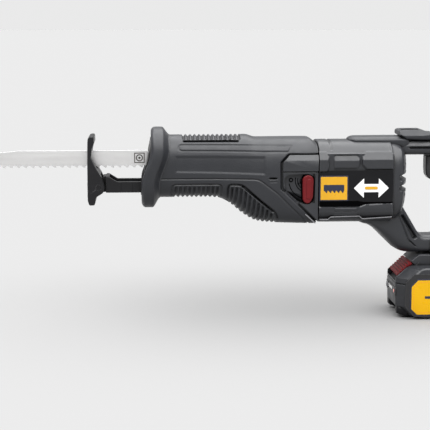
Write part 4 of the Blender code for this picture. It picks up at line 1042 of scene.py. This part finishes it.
def make_battery_labels():
    """Yellow side labels with a border, a fine line, and minus, battery and plus signs."""
    recess = rounded([(171.6, 14.4), (171.6, 41.2), (181.4, 50.6), (261, 50.6), (270.6, 41.6),
                      (270.6, 14.4), (261.6, 3.2), (181.8, 3.2)], 1.6)
    border = rounded([(177, 37.4), (184.7, 45.4), (258, 45.4), (266, 37.4), (266, 12), (258, 4.6),
                      (184.1, 4.6), (177, 11.8)], 1)
    card = rounded([(178.3, 36.8), (185.2, 44), (257.4, 44), (264.6, 36.8), (264.6, 12.6), (257.4, 6),
                    (184.6, 6), (178.3, 12.3)], 0.8)
    line_out = rounded([(180.4, 36), (186, 42), (256.6, 42), (262.6, 36), (262.6, 13.4), (256.6, 8),
                        (185.5, 8), (180.4, 13.2)], 0.8)
    line_in = rounded([(180.9, 35.8), (186.2, 41.5), (256.4, 41.5), (262.1, 35.8), (262.1, 13.6),
                       (256.4, 8.5), (185.7, 8.5), (180.9, 13.4)], 0.8)
    for name, outlines, inner, outer, edge, material in (
        ("recess", [recess], 36.4, 38.12, 0.15, BLACK),
        ("label_border", [border], 37.4, 38.3, 0.12, LABEL_NAVY),
        ("label", [card], 37.7, 38.5, 0.1, PANEL_YELLOW),
        ("label_line", [line_out, line_in], 38.2, 38.56, 0.04, LABEL_ORANGE),
    ):
        side_plates(f"battery_{name}", outlines, inner, outer, edge, material, "battery")
    cell = [rounded(box(209, 17, 232, 33), 2), rounded(box(211, 19, 230, 31), 1.4)]
    cap = rounded(box(232, 21.6, 234.6, 28.4), 0.6)
    bolt = [(222.6, 29.8), (215.6, 23.8), (219.8, 23.8), (218, 20.2), (225.4, 26), (221, 26)]
    for name, groups in (
        ("minus", [[box(193, 23.6, 203, 26.4)]]),
        ("plus", [[box(240, 23.6, 250, 26.4)], [box(243.6, 20, 246.4, 30)]]),
        ("sign", [cell, [cap], [bolt]]),
    ):
        side_marks(f"battery_{name}", groups, 38.2, 38.6, 0.04, LABEL_NAVY, "battery", "black_plastic")


def make_feet():
    """Rubber bumpers under the battery's front corners."""
    table = (
        (165, 4.4, 5, 12, 8.5, 2.6, 2.6),
        (166.6, 6.6, 3.4, 14, 8.5, 2.8, 2.8),
        (176, 7, 0.6, 12, 6, 3, 3.2),
        (180, 5, 0.8, 6, 3, 2.8, 2.8),
    )
    for word, side in SIDES:
        grid = tube(table, 0.8, 60, soft=1)
        grid[..., 1] += side * 22.5
        add(skin(f"battery_bumper_{word}", grid, INLAY_BLACK), body="battery", slot="rubber_grip")


LATCH_LOW = (164.5, 46.7)
LATCH_HIGH = (180, 61.7)


def latch_point(along, inward):
    """Point in X and Z on the slanted latch face, along it and in behind it."""
    length = math.dist(LATCH_LOW, LATCH_HIGH)
    ux, uz = (LATCH_HIGH[0] - LATCH_LOW[0]) / length, (LATCH_HIGH[1] - LATCH_LOW[1]) / length
    return (LATCH_LOW[0] + ux * along + uz * inward, LATCH_LOW[1] + uz * along - ux * inward)


def latch_box(along0, inward0, along1, inward1):
    """Outline of a rectangle that follows the slanted latch face."""
    return [latch_point(*corner) for corner in box(along0, inward0, along1, inward1)]


def make_latch():
    """Release button with finger ribs, and the floor of the pocket that it sinks into."""
    outline = [latch_point(0.2, 3.4), latch_point(0.2, 0.9)]
    rib = ((1.6, 0.9), (2.1, 0), (3.3, 0), (3.9, 0.9))
    for i in range(6):
        outline += [latch_point(along + 3.2 * i, inward) for along, inward in rib]
    outline += [latch_point(21.3, 0.7), latch_point(21.3, 3.4)]
    button = plate("release_button", [outline], (-20.6, 20.6), 0.3, LATCH_RED)
    cut(button, cutter(latch_box(3, 1.4, 19, 8), (-7.4, 7.4)))
    add(button, "battery_latch", body="latch", slot="red_plastic")
    add(plate("latch_pocket", [latch_box(-4.6, 7.2, 27, 9.4)], (-21.8, 21.8), 0.3, BLACK), body="battery")


def make_gauge():
    """Charge gauge: a dark band with a lens, one light and the way of the push button."""
    band = rounded(box(-25, 24, 22.6, 33.6), 1.6)
    rim = plate("gauge_band", [band, GAUGE_HOLE], (162.7, 166), 0.2, BLACK, "YZ")
    add(rim, "gauge_panel", body="battery")
    lens = rounded(box(-9.4, 28, 9.6, 31.4), 1.4)
    add(plate("gauge_lens", [lens], (162.3, 163.4), 0.2, LENS_WHITE, "YZ"), body="battery")
    light = arc(-19, 28.6, 2.1, 0, 350, 24)
    add(plate("gauge_light", [light], (162.2, 163.4), 0.3, LENS_RED, "YZ"), body="battery")


# ---- Carried-over CAD pieces
def dress_frame():
    """Gives every CAD node that still shows the procedural finish of its own slot."""
    slot_of = {entry["node"]: entry["material_slot"] for entry in frame["record"]["subparts"]}
    chosen = {name: FINISHES[slot] for name, slot in slot_of.items()}
    chosen["gauge_button"] = PALE_GREY_AND_HIGHLIGHT
    chosen["shoe_pivot_pin"] = BLACK_STEEL
    for name, obj in frame["nodes"].items():
        for holder in obj.material_slots:
            holder.material = chosen[name]


# ---- Stage
def make_stage():
    """A wide pale floor under a sky with a pale horizon and a bright panel high up, brightest in front."""
    bm = bmesh.new()
    bmesh.ops.create_grid(bm, x_segments=1, y_segments=1, size=FLOOR_REACH)
    paper = bpy.data.materials.new("floor_paper")
    shader = Nodes(paper).shader
    shader.inputs["Base Color"].default_value = FLOOR_COLOUR
    shader.inputs["Roughness"].default_value = 1
    shader.inputs["Specular IOR Level"].default_value = 0
    floor = to_object("floor", bm, paper)

    world = bpy.data.worlds.new("studio")
    bpy.context.scene.world = world
    nodes = Nodes(world, "Background")
    coords = nodes.add("ShaderNodeTexCoord").outputs["Generated"]
    way = nodes.add("ShaderNodeSeparateXYZ", {0: coords}).outputs
    low = nodes.add("ShaderNodeValToRGB", {0: way["Z"]})
    for _ in LOW_SKY[2:]:
        low.color_ramp.elements.new(0.5)
    for stop, (height, bright) in zip(low.color_ramp.elements, LOW_SKY):
        stop.position = height
        stop.color = (bright, bright, bright, 1)
    panel = nodes.spread(way["Z"], 0, PANEL_STRENGTH, *PANEL_HEIGHTS)
    lamp = nodes.times(panel, nodes.spread(way["Y"], *PANEL_LEAN))
    nodes.feed("Strength", nodes.add("ShaderNodeMath", {0: low.outputs[0], 1: lamp}).outputs[0])
    nodes.shader.inputs["Color"].default_value = (1, 1, 1, 1)


def make_camera():
    data = bpy.data.cameras.new("camera")
    data.lens = CAMERA_LENS
    camera = place("camera", data)
    camera.location = CAMERA_PLACE
    look = Vector(CAMERA_AIM) - Vector(CAMERA_PLACE)
    camera.rotation_euler = look.to_track_quat("-Z", "Y").to_euler()
    bpy.context.scene.camera = camera


bpy.context.scene.view_settings.view_transform = "Standard"
make_camera()
make_stage()
make_grip()
make_side_panels()
make_lever()
make_nose()
make_boot()
make_barrel()
make_marks()
make_rear_cap()
make_arm_and_foot()
make_rear_grip()
make_pads()
make_trigger()
make_shoe()
make_arm()
make_blade()
make_battery()
make_battery_labels()
make_feet()
make_latch()
make_gauge()
dress_frame()
